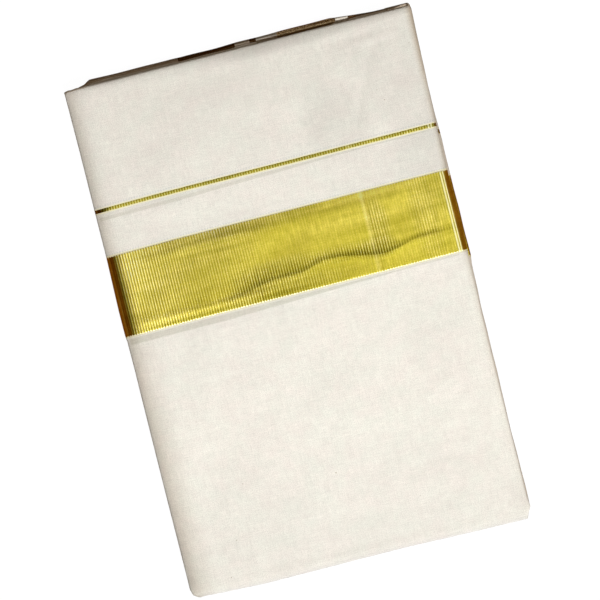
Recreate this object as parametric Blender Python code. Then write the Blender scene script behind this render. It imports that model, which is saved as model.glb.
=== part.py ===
"""Dhoti cloth folded into a flat packet.

One long cotton cloth with woven gold borders is folded into a flat packet that lies on its back panel.
The outer wrap runs from a tucked edge, round the right fold, over the front, round the thick left fold
and under the stack.  It is a thin wall, split where the weave changes from plain cotton to zari.
Inside it the hidden layers are one rounded solid with grooved edges.  Its tongues carry the folded
edges that peep out at the right and at the top.

Sizes are in metres.  ACROSS runs from the left fold to the right, DOWN from the top edge to the bottom
edge, and UP from the surface that the packet lies on.
"""

import math

import bmesh
import bpy
import numpy as np

# Driving dimensions.
PANEL_WIDTH = 0.2516
PANEL_LENGTH = 0.3760
STACK_HEIGHT = 0.0140
CLOTH_WALL = 0.0012
GAP = 0.0003

# Heights of the folded edges that hold each other apart, from the surface up.
LOWER_FOLD = (0.0043, 0.0083)
UPPER_FOLD = (0.0086, 0.0124)
FRONT_FOLD_LOW = UPPER_FOLD[0]

# How far each folded edge rounds out past the end of its straight legs, and how long the legs are.
FRONT_ROUND = 0.0027
SECOND_ROUND = 0.0020
INNER_ROUND = 0.0019
TUCK = 0.0130
INNER_TUCK = 0.0080
BACK_END = 0.2475

# The soft swell of the front: the stack is fullest in the middle and over the stiff zari band.
CROWN = 0.0010
CROWN_EDGE = 0.0450
BAND_SWELL = 0.0004
BAND_EDGE = 0.0120

# Ribs of the wide band.
RIB_PITCH = 0.00198
RIB_HEIGHT = 0.00035
RIB_STEPS_PER_PITCH = 2
RIB_END_LEFT = math.radians(245)
RIB_END_RIGHT = math.radians(-45)
RIB_END_SECOND = math.radians(50)

# Seam between two stretches of the same cloth, half on each side.
HALF_SEAM = GAP / 2

# Edges of the outer wrap: DOWN, where the left fold starts ACROSS, where the right fold ends ACROSS,
# and how much lower (DOWN) the right-hand side lies than the left.
WRAP_EDGES = (
    # down,   left,   right,  drift
    (-0.0008, 0.0006, 0.2540, -0.0014),
    (0.0020, 0.0000, 0.2548, -0.0014),
    (0.1200, 0.0000, 0.2532, -0.0016),
    (0.1800, 0.0000, 0.2516, -0.0017),
    (0.3680, 0.0001, 0.2510, 0.0016),
    (0.3730, 0.0024, 0.2496, 0.0018),
    (0.3754, 0.0052, 0.2478, 0.0019),
)

# Edge of the second layer's right fold.
SECOND_EDGES = (
    # down,   right
    (-0.0034, 0.2548),
    (0.0010, 0.2570),
    (0.1240, 0.2544),
    (0.1840, 0.2540),
    (0.3680, 0.2527),
    (0.3735, 0.2505),
)

# How far the folds at the top edge stick out past the top-left corner, ACROSS by ACROSS.
INNER_EDGES = (
    # across, upper,  lower
    (0.0085, 0.0003, 0.0003),
    (0.0165, 0.0010, 0.0012),
    (0.0195, 0.0030, 0.0055),
    (0.2000, 0.0032, 0.0056),
    (0.2377, 0.0022, 0.0042),
)

# Stretches of the outer wrap and of the second layer, by where they start and end DOWN.
WRAP_STRETCHES = (
    # name,                start,   end,    rows, weave
    ("outer_plain_top", -0.0008, 0.0880, 7, "cotton"),
    ("outer_zari_line", 0.0880, 0.0907, 2, "zari"),
    ("outer_plain_middle", 0.0907, 0.1219, 3, "cotton"),
    ("outer_zari_band", 0.1219, 0.1806, 3, "ribbed zari"),
    ("outer_plain_bottom", 0.1806, 0.3754, 9, "cotton"),
)
SECOND_STRETCHES = (
    ("second_plain_top", -0.0034, 0.0903, 5, "cotton"),
    ("second_zari_line", 0.0903, 0.0933, 2, "zari"),
    ("second_plain_middle", 0.0933, 0.1238, 3, "cotton"),
    ("second_zari_band", 0.1238, 0.1845, 3, "ribbed zari"),
    ("second_plain_bottom", 0.1845, 0.3735, 8, "cotton"),
)

# Stretches of the two folds at the top edge, by where they start and end ACROSS.
UPPER_INNER_STRETCHES = (("upper_inner_fold", 0.0085, 0.2377, 12, "cotton"),)
LOWER_INNER_STRETCHES = (
    ("lower_inner_plain_left", 0.0085, 0.0851, 6, "cotton"),
    ("lower_inner_band_left", 0.0851, 0.1273, 4, "zari"),
    ("lower_inner_gap_left", 0.1273, 0.1383, 2, "cotton"),
    ("lower_inner_line_left", 0.1383, 0.1432, 2, "zari"),
    ("lower_inner_plain_middle", 0.1432, 0.1587, 2, "cotton"),
    ("lower_inner_band_right", 0.1587, 0.2018, 4, "zari"),
    ("lower_inner_gap_right", 0.2018, 0.2118, 2, "cotton"),
    ("lower_inner_line_right", 0.2118, 0.2170, 2, "zari"),
    ("lower_inner_plain_right", 0.2170, 0.2377, 3, "cotton"),
)

# Levels of the hidden layers, bottom to top.  A lip is a rounded plate whose edge shows, a slot is the
# space for the legs of a folded edge.  "right" and "top" say how far the level reaches on those sides,
# "proud" how much further its top side sticks out between the inner folds' ends, and "bottom" how far
# it reaches at the bottom edge.
CORE_LEVELS = (
    # kind,  low,    high,    right,  top,     proud,  bottom
    ("lip", 0.0015, 0.0027, 0.2500, -0.0002, 0.0034, 0.3725),
    ("lip", 0.0028, 0.0040, 0.2512, -0.0004, 0.0042, 0.3732),
    ("slot", 0.0041, 0.0057, 0.2360, 0.0095, 0.0000, 0.3712),
    ("lip", 0.0058, 0.0068, 0.2488, 0.0030, 0.0045, 0.3732),
    ("slot", 0.0069, 0.0084, 0.2360, 0.0095, 0.0000, 0.3710),
    ("slot", 0.0085, 0.0100, 0.2360, 0.0095, 0.0000, 0.3734),
    ("lip", 0.0101, 0.0109, 0.2478, 0.0030, 0.0022, 0.3718),
    ("lip", 0.0110, 0.0125, 0.2476, 0.0110, 0.0000, 0.3734),
)
LIP_ROUND = 0.0004
CORE_CORNER = 0.0120
CORNER_STEPS = 5
LEFT_SIDE_STEPS = 4
PROUD_ENDS = (0.0195, 0.0220, 0.0900, 0.1650, 0.2250, 0.2330)
CAP_SCALES = (0.94, 0.86, 0.70, 0.40)

# How the packet is placed: its box is centred on the origin and rests at height zero.
ACROSS_CENTRE = (SECOND_EDGES[1][1] - RIB_HEIGHT) / 2
DOWN_CENTRE = (WRAP_EDGES[-1][0] + WRAP_EDGES[-1][3] - INNER_EDGES[-2][2]) / 2

# Section steps.
FRONT_STEPS = 16
LEFT_TURN_STEPS = 12
RIGHT_TURN_STEPS = 6
FOLD_TURN_STEPS = 8
BACK_STEPS = 3
PINCH_ROWS = (0.0, 0.25, 1.0)
PINCH_FLAT = 0.35

COLOURS = {
    # weave:        colour,                    roughness, metallic
    "cotton": ((0.80, 0.76, 0.68, 1.0), 0.90, 0.0),
    "zari": ((0.62, 0.50, 0.10, 1.0), 0.38, 0.8),
    "ribbed zari": ((0.66, 0.54, 0.12, 1.0), 0.35, 0.8),
    "hidden cotton": ((0.60, 0.56, 0.48, 1.0), 0.95, 0.0),
}


def clear_scene():
    for item in list(bpy.data.objects):
        bpy.data.objects.remove(item, do_unlink=True)


def weave_material(weave):
    name = weave.replace(" ", "_")
    if name in bpy.data.materials:
        return bpy.data.materials[name]
    colour, roughness, metallic = COLOURS[weave]
    material = bpy.data.materials.new(name)
    material.use_nodes = True
    shader = material.node_tree.nodes["Principled BSDF"]
    shader.inputs["Base Color"].default_value = colour
    shader.inputs["Roughness"].default_value = roughness
    shader.inputs["Metallic"].default_value = metallic
    return material


def column(table, place, index):
    """Value of one column of a table at each place, straight between its rows."""
    rows = np.array(table)
    return np.interp(place, rows[:, 0], rows[:, index])


def soft_step(value):
    """0 below 0, 1 above 1, and an S curve between."""
    t = np.clip(value, 0.0, 1.0)
    return t * t * (3.0 - 2.0 * t)


def crown(across, down):
    """Height of the soft crown: none at the edges of the panel, full from CROWN_EDGE inwards."""
    side = np.minimum(across - STACK_HEIGHT / 2, PANEL_WIDTH - FRONT_ROUND - across)
    end = np.minimum(down, PANEL_LENGTH - down)
    return CROWN * soft_step(side / CROWN_EDGE) * soft_step(end / CROWN_EDGE)


def band_swell(across, down):
    """Extra height where the stiff zari bands lie on each other."""
    start, end = WRAP_STRETCHES[3][1:3]
    side = np.minimum(across - STACK_HEIGHT / 2, PANEL_WIDTH - FRONT_ROUND - across)
    along = np.minimum(down - start + BAND_EDGE, end - down + BAND_EDGE)
    return BAND_SWELL * soft_step(side / CROWN_EDGE) * soft_step(along / BAND_EDGE)


def place(across, down, up):
    """Points in the packet's own frame, with the origin under the middle of its box."""
    x = across - ACROSS_CENTRE
    y = DOWN_CENTRE - down
    return np.stack(np.broadcast_arrays(x, y, up), axis=-1)


def sweep_rows(stretch, stretches, edges):
    """Places along a stretch and how far its two faces close towards each other there.

    Places are even, with one more at each row of the table of edges.  A seam end stops half a seam
    short.  The first and last stretch have an outer end that rounds over: the faces close along a
    quarter circle of half the wall, down to a narrow flat edge.
    """
    name, start, end, count = stretch[:4]
    first = name == stretches[0][0]
    last = name == stretches[-1][0]
    low = start if first else start + HALF_SEAM
    high = end if last else end - HALF_SEAM
    half = CLOTH_WALL / 2
    places = np.linspace(low, high, count)
    corners = np.array(edges)[:, 0]
    extra = [corners[(corners > low + CLOTH_WALL) & (corners < high - CLOTH_WALL)]]
    if first:
        extra.append(low + half * np.array(PINCH_ROWS))
    if last:
        extra.append(high - half * np.array(PINCH_ROWS))
    places = np.unique(np.concatenate([places, *extra]).round(6))
    from_end = np.full(places.shape, half)
    if first:
        from_end = np.minimum(from_end, places - low)
    if last:
        from_end = np.minimum(from_end, high - places)
    short = half - np.clip(from_end, 0.0, half)
    pinch = np.minimum(half - np.sqrt(half**2 - short**2), PINCH_FLAT * CLOTH_WALL)
    return places[:, None], pinch[:, None]


def fold_section(reach, tuck, rounding, heights, turns, inset):
    """Section of a folded edge: in along a lower leg, round half an ellipse, back along an upper leg.

    Returns how far out and how high each point is.  The ellipse has `rounding` as its reach and half
    the fold's height as its other radius, and `inset` moves the points in from the outer face.
    """
    low, high = heights
    inset = np.broadcast_to(inset, (reach.shape[0], turns.size + 2))
    out = reach - rounding + (rounding - inset[:, 1:-1]) * np.cos(turns)
    up = (low + high) / 2 + ((high - low) / 2 - inset[:, 1:-1]) * np.sin(turns)
    leg_out = reach - tuck
    out = np.concatenate([leg_out, out, leg_out], axis=1)
    up = np.concatenate([low + inset[:, :1], up, high - inset[:, -1:]], axis=1)
    return out, up


def wrap_section(down, right_turns, front_shares, left_turns, inset):
    """Section of the outer wrap, from its tucked edge round to the free end of the back panel.

    The parts are a tucked leg, half an ellipse at the right, the front, a half circle as high as the
    stack at the left, and the back panel on the surface below.
    """
    left = column(WRAP_EDGES, down, 1)
    right = column(WRAP_EDGES, down, 2)
    radius = STACK_HEIGHT / 2
    count = 1 + right_turns.size + front_shares.size + left_turns.size + BACK_STEPS
    inset = np.broadcast_to(inset, (down.shape[0], count))
    ends = np.cumsum([1, right_turns.size, front_shares.size, left_turns.size])
    leg, turn, front, bend, back = np.split(inset, ends, axis=1)

    middle = (STACK_HEIGHT + FRONT_FOLD_LOW) / 2
    half = (STACK_HEIGHT - FRONT_FOLD_LOW) / 2
    turn_across = right - FRONT_ROUND + (FRONT_ROUND - turn) * np.cos(right_turns)
    turn_up = middle + (half - turn) * np.sin(right_turns)

    front_start = right - FRONT_ROUND
    front_end = left + radius
    front_across = front_start + (front_end - front_start) * front_shares
    front_up = STACK_HEIGHT - front + crown(front_across, down) + band_swell(front_across, down)

    bend_across = left + radius + (radius - bend) * np.cos(left_turns)
    bend_up = radius + (radius - bend) * np.sin(left_turns)

    back_shares = np.arange(1, BACK_STEPS + 1) / BACK_STEPS
    back_across = front_end + (BACK_END - front_end) * back_shares
    across = np.concatenate(
        [right - TUCK, turn_across, front_across, bend_across, back_across], axis=1
    )
    up = np.concatenate([FRONT_FOLD_LOW + leg, turn_up, front_up, bend_up, back], axis=1)
    drift = column(WRAP_EDGES, down, 3) * across / PANEL_WIDTH
    return place(across, down + drift, up)


def grid_mesh(name, points, faces):
    """Closed mesh from an array of points and a list of faces, with its faces turned outwards."""
    mesh = bpy.data.meshes.new(name)
    mesh.from_pydata(points.reshape(-1, 3).tolist(), [], faces)
    work = bmesh.new()
    work.from_mesh(mesh)
    bmesh.ops.recalc_face_normals(work, faces=work.faces)
    work.to_mesh(mesh)
    work.free()
    mesh.validate()
    return mesh


def add_part(name, points, faces, weave, parts):
    part = bpy.data.objects.new(name, grid_mesh(name, points, faces))
    part.data.materials.append(weave_material(weave))
    part.data.shade_smooth()
    part.data.set_sharp_from_angle(angle=math.radians(40))
    parts.objects.link(part)


def add_wall(name, outer, inner, weave, parts):
    """A wall between an outer and an inner grid of points, closed round its rim."""
    rows, columns = outer.shape[:2]
    count = rows * columns
    grid = np.arange(count).reshape(rows, columns)
    sheet = np.stack([grid[:-1, :-1], grid[:-1, 1:], grid[1:, 1:], grid[1:, :-1]], axis=-1)
    sheet = sheet.reshape(-1, 4)
    rim = np.concatenate([grid[0, :-1], grid[:-1, -1], grid[-1, :0:-1], grid[:0:-1, 0]])
    after = np.roll(rim, -1)
    edge = np.stack([rim, rim + count, after + count, after], axis=-1)
    faces = np.concatenate([sheet, sheet[:, ::-1] + count, edge])
    add_part(name, np.stack([outer, inner]), faces.tolist(), weave, parts)


def rib_heights(ribbed):
    """Every other point of the ribbed run stands up as a crest."""
    crest = np.arange(ribbed.size) % RIB_STEPS_PER_PITCH
    return RIB_HEIGHT * crest * ribbed


def turn_angles(start, end, radius, steps, ribbed):
    """Angles round a fold: a few, or one for each rib crest and valley."""
    if ribbed:
        steps = round(abs(end - start) * radius / RIB_PITCH * RIB_STEPS_PER_PITCH)
    return np.linspace(start, end, steps + 1)


def add_wrap(parts):
    quarter = math.pi / 2
    for stretch in WRAP_STRETCHES:
        name, weave = stretch[0], stretch[-1]
        ribbed = weave == "ribbed zari"
        right_turns = turn_angles(-quarter, quarter, FRONT_ROUND, RIGHT_TURN_STEPS, ribbed)
        left_turns = turn_angles(quarter, 3 * quarter, STACK_HEIGHT / 2, LEFT_TURN_STEPS, ribbed)
        steps = FRONT_STEPS
        if ribbed:
            steps = round(PANEL_WIDTH / RIB_PITCH * RIB_STEPS_PER_PITCH)
        front_shares = np.arange(1, steps) / steps
        rise = np.concatenate(
            [
                [False],
                right_turns > RIB_END_RIGHT,
                np.ones(front_shares.size, bool),
                left_turns < RIB_END_LEFT,
                np.zeros(BACK_STEPS, bool),
            ]
        )
        rise = rib_heights(rise) * ribbed
        down, pinch = sweep_rows(stretch, WRAP_STRETCHES, WRAP_EDGES)
        outer = wrap_section(down, right_turns, front_shares, left_turns, pinch - rise)
        inner = wrap_section(down, right_turns, front_shares, left_turns, CLOTH_WALL - pinch)
        add_wall(name, outer, inner, weave, parts)


def add_second_fold(parts):
    quarter = math.pi / 2
    for stretch in SECOND_STRETCHES:
        name, weave = stretch[0], stretch[-1]
        ribbed = weave == "ribbed zari"
        turns = turn_angles(-quarter, quarter, SECOND_ROUND, FOLD_TURN_STEPS, ribbed)
        rise = np.concatenate([[False], np.abs(turns) < RIB_END_SECOND, [False]])
        rise = rib_heights(rise) * ribbed
        down, pinch = sweep_rows(stretch, SECOND_STRETCHES, SECOND_EDGES)
        reach = column(SECOND_EDGES, down, 1)
        faces = []
        for inset in (pinch - rise, CLOTH_WALL - pinch):
            across, up = fold_section(
                reach, reach - PANEL_WIDTH + TUCK, SECOND_ROUND, LOWER_FOLD, turns, inset
            )
            faces.append(place(across, down, up))
        add_wall(name, faces[0], faces[1], weave, parts)


def add_inner_folds(stretches, heights, reach_column, parts):
    quarter = math.pi / 2
    turns = np.linspace(-quarter, quarter, FOLD_TURN_STEPS + 1)
    for stretch in stretches:
        across, pinch = sweep_rows(stretch, stretches, INNER_EDGES)
        reach = column(INNER_EDGES, across, reach_column)
        faces = []
        for inset in (pinch, CLOTH_WALL - pinch):
            out, up = fold_section(reach, reach + INNER_TUCK, INNER_ROUND, heights, turns, inset)
            faces.append(place(across, -out, up))
        add_wall(stretch[0], faces[0], faces[1], stretch[-1], parts)


def core_outline(up, right, top, proud, bottom):
    """One level's outline: a rounded rectangle, with its top side stepped out between two ramps.

    The left side follows the inside of the thick left fold, a half circle seen from the end.
    """
    radius = STACK_HEIGHT / 2
    inner = radius - CLOTH_WALL - GAP
    left = radius - math.sqrt(max(inner**2 - (up - radius) ** 2, 0.0))
    quarter = np.linspace(0.0, math.pi / 2, CORNER_STEPS)
    sine, cosine = CORE_CORNER * np.sin(quarter), CORE_CORNER * np.cos(quarter)
    high, low = top + CORE_CORNER, bottom - CORE_CORNER
    near, far = left + CORE_CORNER, right - CORE_CORNER
    ramp = np.array(PROUD_ENDS)
    raised = np.array([0.0] + [1.0] * (ramp.size - 2) + [0.0])
    side = np.linspace(high, low, LEFT_SIDE_STEPS + 2)[1:-1]
    bottom_side = np.linspace(near, far, LEFT_SIDE_STEPS + 2)[1:-1]
    across = np.concatenate(
        [
            near - cosine,
            ramp,
            far + sine,
            np.full(side.size, right),
            far + cosine,
            bottom_side[::-1],
            near - sine,
            np.full(side.size, left),
        ]
    )
    down = np.concatenate(
        [
            high - sine,
            top - proud * raised,
            high - cosine,
            side,
            low + sine,
            np.full(bottom_side.size, bottom),
            low + cosine,
            side[::-1],
        ]
    )
    return across, down


def core_rows():
    """Heights and reaches of the outlines: lips round over at both faces, slots are straight."""
    rows = []
    for kind, low, high, right, top, proud, bottom in CORE_LEVELS:
        if kind == "slot":
            rows += [(low, right, top, proud, bottom), (high, right, top, proud, bottom)]
            continue
        for up, pull in (
            (low, LIP_ROUND),
            (low + LIP_ROUND, 0.0),
            (high - LIP_ROUND, 0.0),
            (high, LIP_ROUND),
        ):
            rows.append((up, right - pull, top + pull, proud, bottom - pull))
    heights = sorted(set(round(row[0], 6) for row in rows))
    return [next(row for row in rows if round(row[0], 6) == height) for height in heights]


def add_core(parts):
    """The hidden layers: outlines stacked into lips and slots, and a crowned top cap."""
    rings = []
    for up, right, top, proud, bottom in core_rows():
        across, down = core_outline(up, right, top, proud, bottom)
        rings.append(place(across, down, np.full(across.size, up)))
    top_up = CORE_LEVELS[-1][2]
    middle = (across.mean(), down.mean())
    for scale in CAP_SCALES:
        cap_across = middle[0] + scale * (across - middle[0])
        cap_down = middle[1] + scale * (down - middle[1])
        rings.append(place(cap_across, cap_down, top_up + crown(cap_across, cap_down)))
    rings = np.stack(rings)
    levels, around = rings.shape[:2]
    grid = np.arange(levels * around).reshape(levels, around)
    after = np.roll(grid, -1, axis=1)
    sides = np.stack([grid[:-1], after[:-1], after[1:], grid[1:]], axis=-1).reshape(-1, 4)
    faces = sides.tolist() + [grid[0, ::-1].tolist(), grid[-1].tolist()]
    add_part("hidden_layers", rings, faces, "hidden cotton", parts)


def build():
    clear_scene()
    parts = bpy.data.collections.new("folded_dhoti")
    bpy.context.scene.collection.children.link(parts)
    add_core(parts)
    add_wrap(parts)
    add_second_fold(parts)
    add_inner_folds(UPPER_INNER_STRETCHES, UPPER_FOLD, 1, parts)
    add_inner_folds(LOWER_INNER_STRETCHES, LOWER_FOLD, 2, parts)


build()
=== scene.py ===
"""Looks of the folded dhoti cloth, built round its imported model.

The cloth is folded into a flat packet that lies on its back panel.  Places on it are given in metres as
ACROSS, from the left fold to the right, DOWN, from the top edge to the bottom edge, and UP, from the
surface that it lies on.  Each piece also carries a map named "cloth": how far a point lies along the
woven cloth, in metres, measured round the folds.  On the front that map is ACROSS and DOWN.
"""

import math

import bpy
import numpy as np
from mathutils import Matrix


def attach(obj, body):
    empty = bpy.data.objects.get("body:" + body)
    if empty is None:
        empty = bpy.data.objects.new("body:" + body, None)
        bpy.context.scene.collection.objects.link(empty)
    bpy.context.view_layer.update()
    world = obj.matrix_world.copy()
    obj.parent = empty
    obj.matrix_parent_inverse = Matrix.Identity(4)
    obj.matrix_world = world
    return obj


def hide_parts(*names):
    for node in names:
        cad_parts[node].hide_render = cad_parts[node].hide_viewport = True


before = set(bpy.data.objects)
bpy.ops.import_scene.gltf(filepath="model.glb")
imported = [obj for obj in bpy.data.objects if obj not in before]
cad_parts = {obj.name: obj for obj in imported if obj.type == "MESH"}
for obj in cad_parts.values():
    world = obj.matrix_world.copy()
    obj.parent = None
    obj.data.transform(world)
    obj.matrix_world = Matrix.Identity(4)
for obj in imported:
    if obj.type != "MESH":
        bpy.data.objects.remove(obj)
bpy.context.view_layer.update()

# The packet's driving sizes, as its solids have them.
PANEL_WIDTH = 0.2516
PANEL_LENGTH = 0.3760
STACK_HEIGHT = 0.0140
LOWER_FOLD = (0.0043, 0.0083)
UPPER_FOLD = (0.0086, 0.0124)
FRONT_ROUND = 0.0041
SECOND_ROUND = 0.0020
TUCK = 0.0130
INNER_TUCK = 0.0080
BACK_END = 0.2475
CROWN = 0.0010
CROWN_EDGE = 0.0450
BAND_SWELL = 0.0004
BAND_EDGE = 0.0120
ACROSS_CENTRE = 0.128325
DOWN_CENTRE = 0.18585
RIB_PITCH = 0.00198

# One layer of the cloth as it looks, with the soft roll of its loose edges, whose faces close by this
# share of half the cloth's thickness.
CLOTH = 0.00036
EDGE_ROLL = 0.0016
EDGE_DROP = 0.00055
EDGE_PINCH = 0.92
# The left fold is a long flat ellipse above and a circle below.
LEFT_REACH = 0.0200
# The right turn is an ellipse whose sine and cosine are raised to a power: round at 1, a flat facet
# on the stiff band, and square where the packet is thin.
TURN_SHAPE = (
    # down,   power, reach
    (-0.0008, 0.95, 0.0041),
    (0.1150, 1.00, 0.0041),
    (0.1210, 1.50, 0.0033),
    (0.1300, 1.80, 0.0033),
    (0.1600, 1.80, 0.0036),
    (0.1790, 1.80, 0.0033),
    (0.1840, 1.00, 0.0035),
    (0.2150, 0.62, 0.0041),
    (0.3764, 0.58, 0.0041),
)
# How much further up the outer wrap's top edge reaches, fading out over TOP_FLARE_LENGTH.
TOP_FLARE = (
    # across, further up
    (0.0000, 0.0008),
    (0.0028, 0.0014),
    (0.0050, 0.0011),
    (0.0090, 0.0015),
    (0.0200, 0.0009),
    (0.0400, 0.0005),
    (0.0800, 0.0004),
    (0.1250, 0.0001),
    (0.1800, 0.0000),
    (0.2150, -0.0004),
    (0.2500, -0.0006),
    (0.2580, 0.0000),
)
TOP_FLARE_LENGTH = 0.0070
# The same at the bottom edge, further down.
BOTTOM_FLARE = (
    # across, further down
    (0.0020, -0.0002),
    (0.0060, -0.0006),
    (0.0110, -0.0009),
    (0.0200, -0.0005),
    (0.0350, 0.0000),
    (0.0550, 0.0006),
    (0.0850, 0.0003),
    (0.1250, -0.0002),
    (0.1600, -0.0005),
    (0.1950, 0.0000),
    (0.2150, 0.0003),
    (0.2500, 0.0004),
)
BOTTOM_FLARE_START = 0.3680
# The front sinks towards its top and bottom edges: length of the slope and depth, at the top by ACROSS.
TOP_SLOPE = (
    # across, length, depth
    (0.0000, 0.0040, 0.00115),
    (0.1050, 0.0044, 0.00120),
    (0.1300, 0.0110, 0.00185),
    (0.1750, 0.0110, 0.00190),
    (0.2100, 0.0085, 0.00155),
    (0.2560, 0.0065, 0.00125),
)
BOTTOM_SLOPE = (0.0052, 0.00075)
SLOPE_POWER = 2.2
# The weave hangs a little lower towards the left fold, fading out over this reach.
LEFT_SAG = 0.0004
LEFT_SAG_REACH = 0.0500
# The borders bow up a little left of the middle: height, and middle and half length ACROSS and DOWN.
BOW = 0.00024
BOW_ACROSS = (0.0750, 0.0450)
BOW_DOWN = (0.1300, 0.0700)

# Woven borders on the outer wrap, by where they start and end DOWN.
LINE = (0.0866, 0.0892)
BAND = (0.1214, 0.1813)

# Where the outer wrap's folds lie, and how much further down its right edge lies than its left one.
WRAP_EDGES = (
    # down,   left,   right,  drift
    (-0.0008, -0.0005, 0.2560, -0.0010),
    (0.0015, -0.0002, 0.2569, -0.0012),
    (0.0200, 0.0000, 0.2564, -0.0014),
    (0.0450, 0.0002, 0.2560, -0.0015),
    (0.0860, 0.0002, 0.2545, -0.0014),
    (0.1200, 0.0003, 0.2541, -0.0016),
    (0.1600, -0.0004, 0.2545, -0.0017),
    (0.1800, -0.0003, 0.2542, -0.0017),
    (0.1850, 0.0002, 0.2541, -0.0017),
    (0.2050, 0.0004, 0.2537, -0.0012),
    (0.2300, 0.0003, 0.2531, -0.0006),
    (0.3000, 0.0003, 0.2526, 0.0008),
    (0.3600, 0.0005, 0.2524, 0.0013),
    (0.3684, 0.0004, 0.2532, 0.0013),
    (0.3735, 0.0017, 0.2503, 0.0013),
    (0.3764, 0.0056, 0.2494, 0.0013),
)
# Where the second fold ends at the right.
SECOND_EDGES = (
    # down,   right
    (-0.0039, 0.2560),
    (-0.0024, 0.2569),
    (0.0010, 0.2574),
    (0.0100, 0.2571),
    (0.0300, 0.2564),
    (0.0600, 0.2556),
    (0.0800, 0.2554),
    (0.0900, 0.2556),
    (0.1000, 0.2559),
    (0.1240, 0.2556),
    (0.1600, 0.2556),
    (0.1840, 0.2559),
    (0.1900, 0.2551),
    (0.2200, 0.2539),
    (0.2500, 0.2540),
    (0.3000, 0.2532),
    (0.3680, 0.2533),
    (0.3735, 0.2503),
)
# How far the two inner folds stick out past the top edge.
INNER_EDGES = (
    # across, upper,  lower
    (0.0085, 0.0014, 0.0017),
    (0.0120, 0.0017, 0.0026),
    (0.0152, 0.0020, 0.0033),
    (0.0192, 0.0029, 0.0059),
    (0.0300, 0.0033, 0.0059),
    (0.0820, 0.0032, 0.0058),
    (0.0870, 0.0025, 0.0055),
    (0.1120, 0.0025, 0.0056),
    (0.1250, 0.0025, 0.0061),
    (0.1290, 0.0031, 0.0063),
    (0.1560, 0.0026, 0.0065),
    (0.1600, 0.0018, 0.0066),
    (0.1980, 0.0018, 0.0066),
    (0.2020, 0.0026, 0.0060),
    (0.2120, 0.0025, 0.0052),
    (0.2220, 0.0026, 0.0045),
    (0.2300, 0.0025, 0.0039),
    (0.2384, 0.0024, 0.0038),
    (0.2396, 0.0020, 0.0034),
)
# The stretches of cloth that show, each a piece: DOWN on the first two and ACROSS on the inner folds.
WRAP_STRETCHES = (
    # name,            start,   end,     weave
    ("outer_plain_top", -0.0008, LINE[0], "cotton"),
    ("outer_zari_line", LINE[0], LINE[1], "zari"),
    ("outer_plain_middle", LINE[1], BAND[0], "cotton"),
    ("outer_zari_band", BAND[0], BAND[1], "zari"),
    ("outer_plain_bottom", BAND[1], 0.3764, "cotton"),
)
SECOND_STRETCHES = (
    ("second_plain_top", -0.0039, 0.0903, "cotton"),
    ("second_zari_line", 0.0903, 0.0933, "zari"),
    ("second_plain_middle", 0.0933, 0.1238, "cotton"),
    ("second_zari_band", 0.1238, 0.1845, "zari"),
    ("second_plain_bottom", 0.1845, 0.3735, "cotton"),
)
UPPER_INNER_STRETCHES = (("upper_inner_fold", 0.0085, 0.2396, "cotton"),)
LOWER_INNER_STRETCHES = (
    ("lower_inner_plain_left", 0.0085, 0.0851, "cotton"),
    ("lower_inner_band_left", 0.0851, 0.1273, "zari"),
    ("lower_inner_gap_left", 0.1273, 0.1383, "cotton"),
    ("lower_inner_line_left", 0.1383, 0.1432, "zari"),
    ("lower_inner_plain_middle", 0.1432, 0.1587, "cotton"),
    ("lower_inner_band_right", 0.1587, 0.2018, "zari"),
    ("lower_inner_gap_right", 0.2018, 0.2118, "cotton"),
    ("lower_inner_line_right", 0.2118, 0.2170, "zari"),
    ("lower_inner_plain_right", 0.2170, 0.2396, "cotton"),
)

# The crumple that crosses the wide band, and a fainter one that joins it from the left.
CRUMPLE = (
    (0.0660, 0.1731),
    (0.0800, 0.1725),
    (0.0920, 0.1714),
    (0.1060, 0.1686),
    (0.1220, 0.1675),
    (0.1360, 0.1667),
    (0.1480, 0.1632),
    (0.1580, 0.1624),
    (0.1700, 0.1640),
    (0.1840, 0.1668),
    (0.1970, 0.1686),
    (0.2080, 0.1668),
    (0.2190, 0.1645),
    (0.2320, 0.1639),
    (0.2600, 0.1648),
)
SECOND_CRUMPLE = ((-0.0100, 0.1728), (0.0400, 0.1732), (0.0850, 0.1738), (0.1050, 0.1736), (0.1330, 0.1716))
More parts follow.
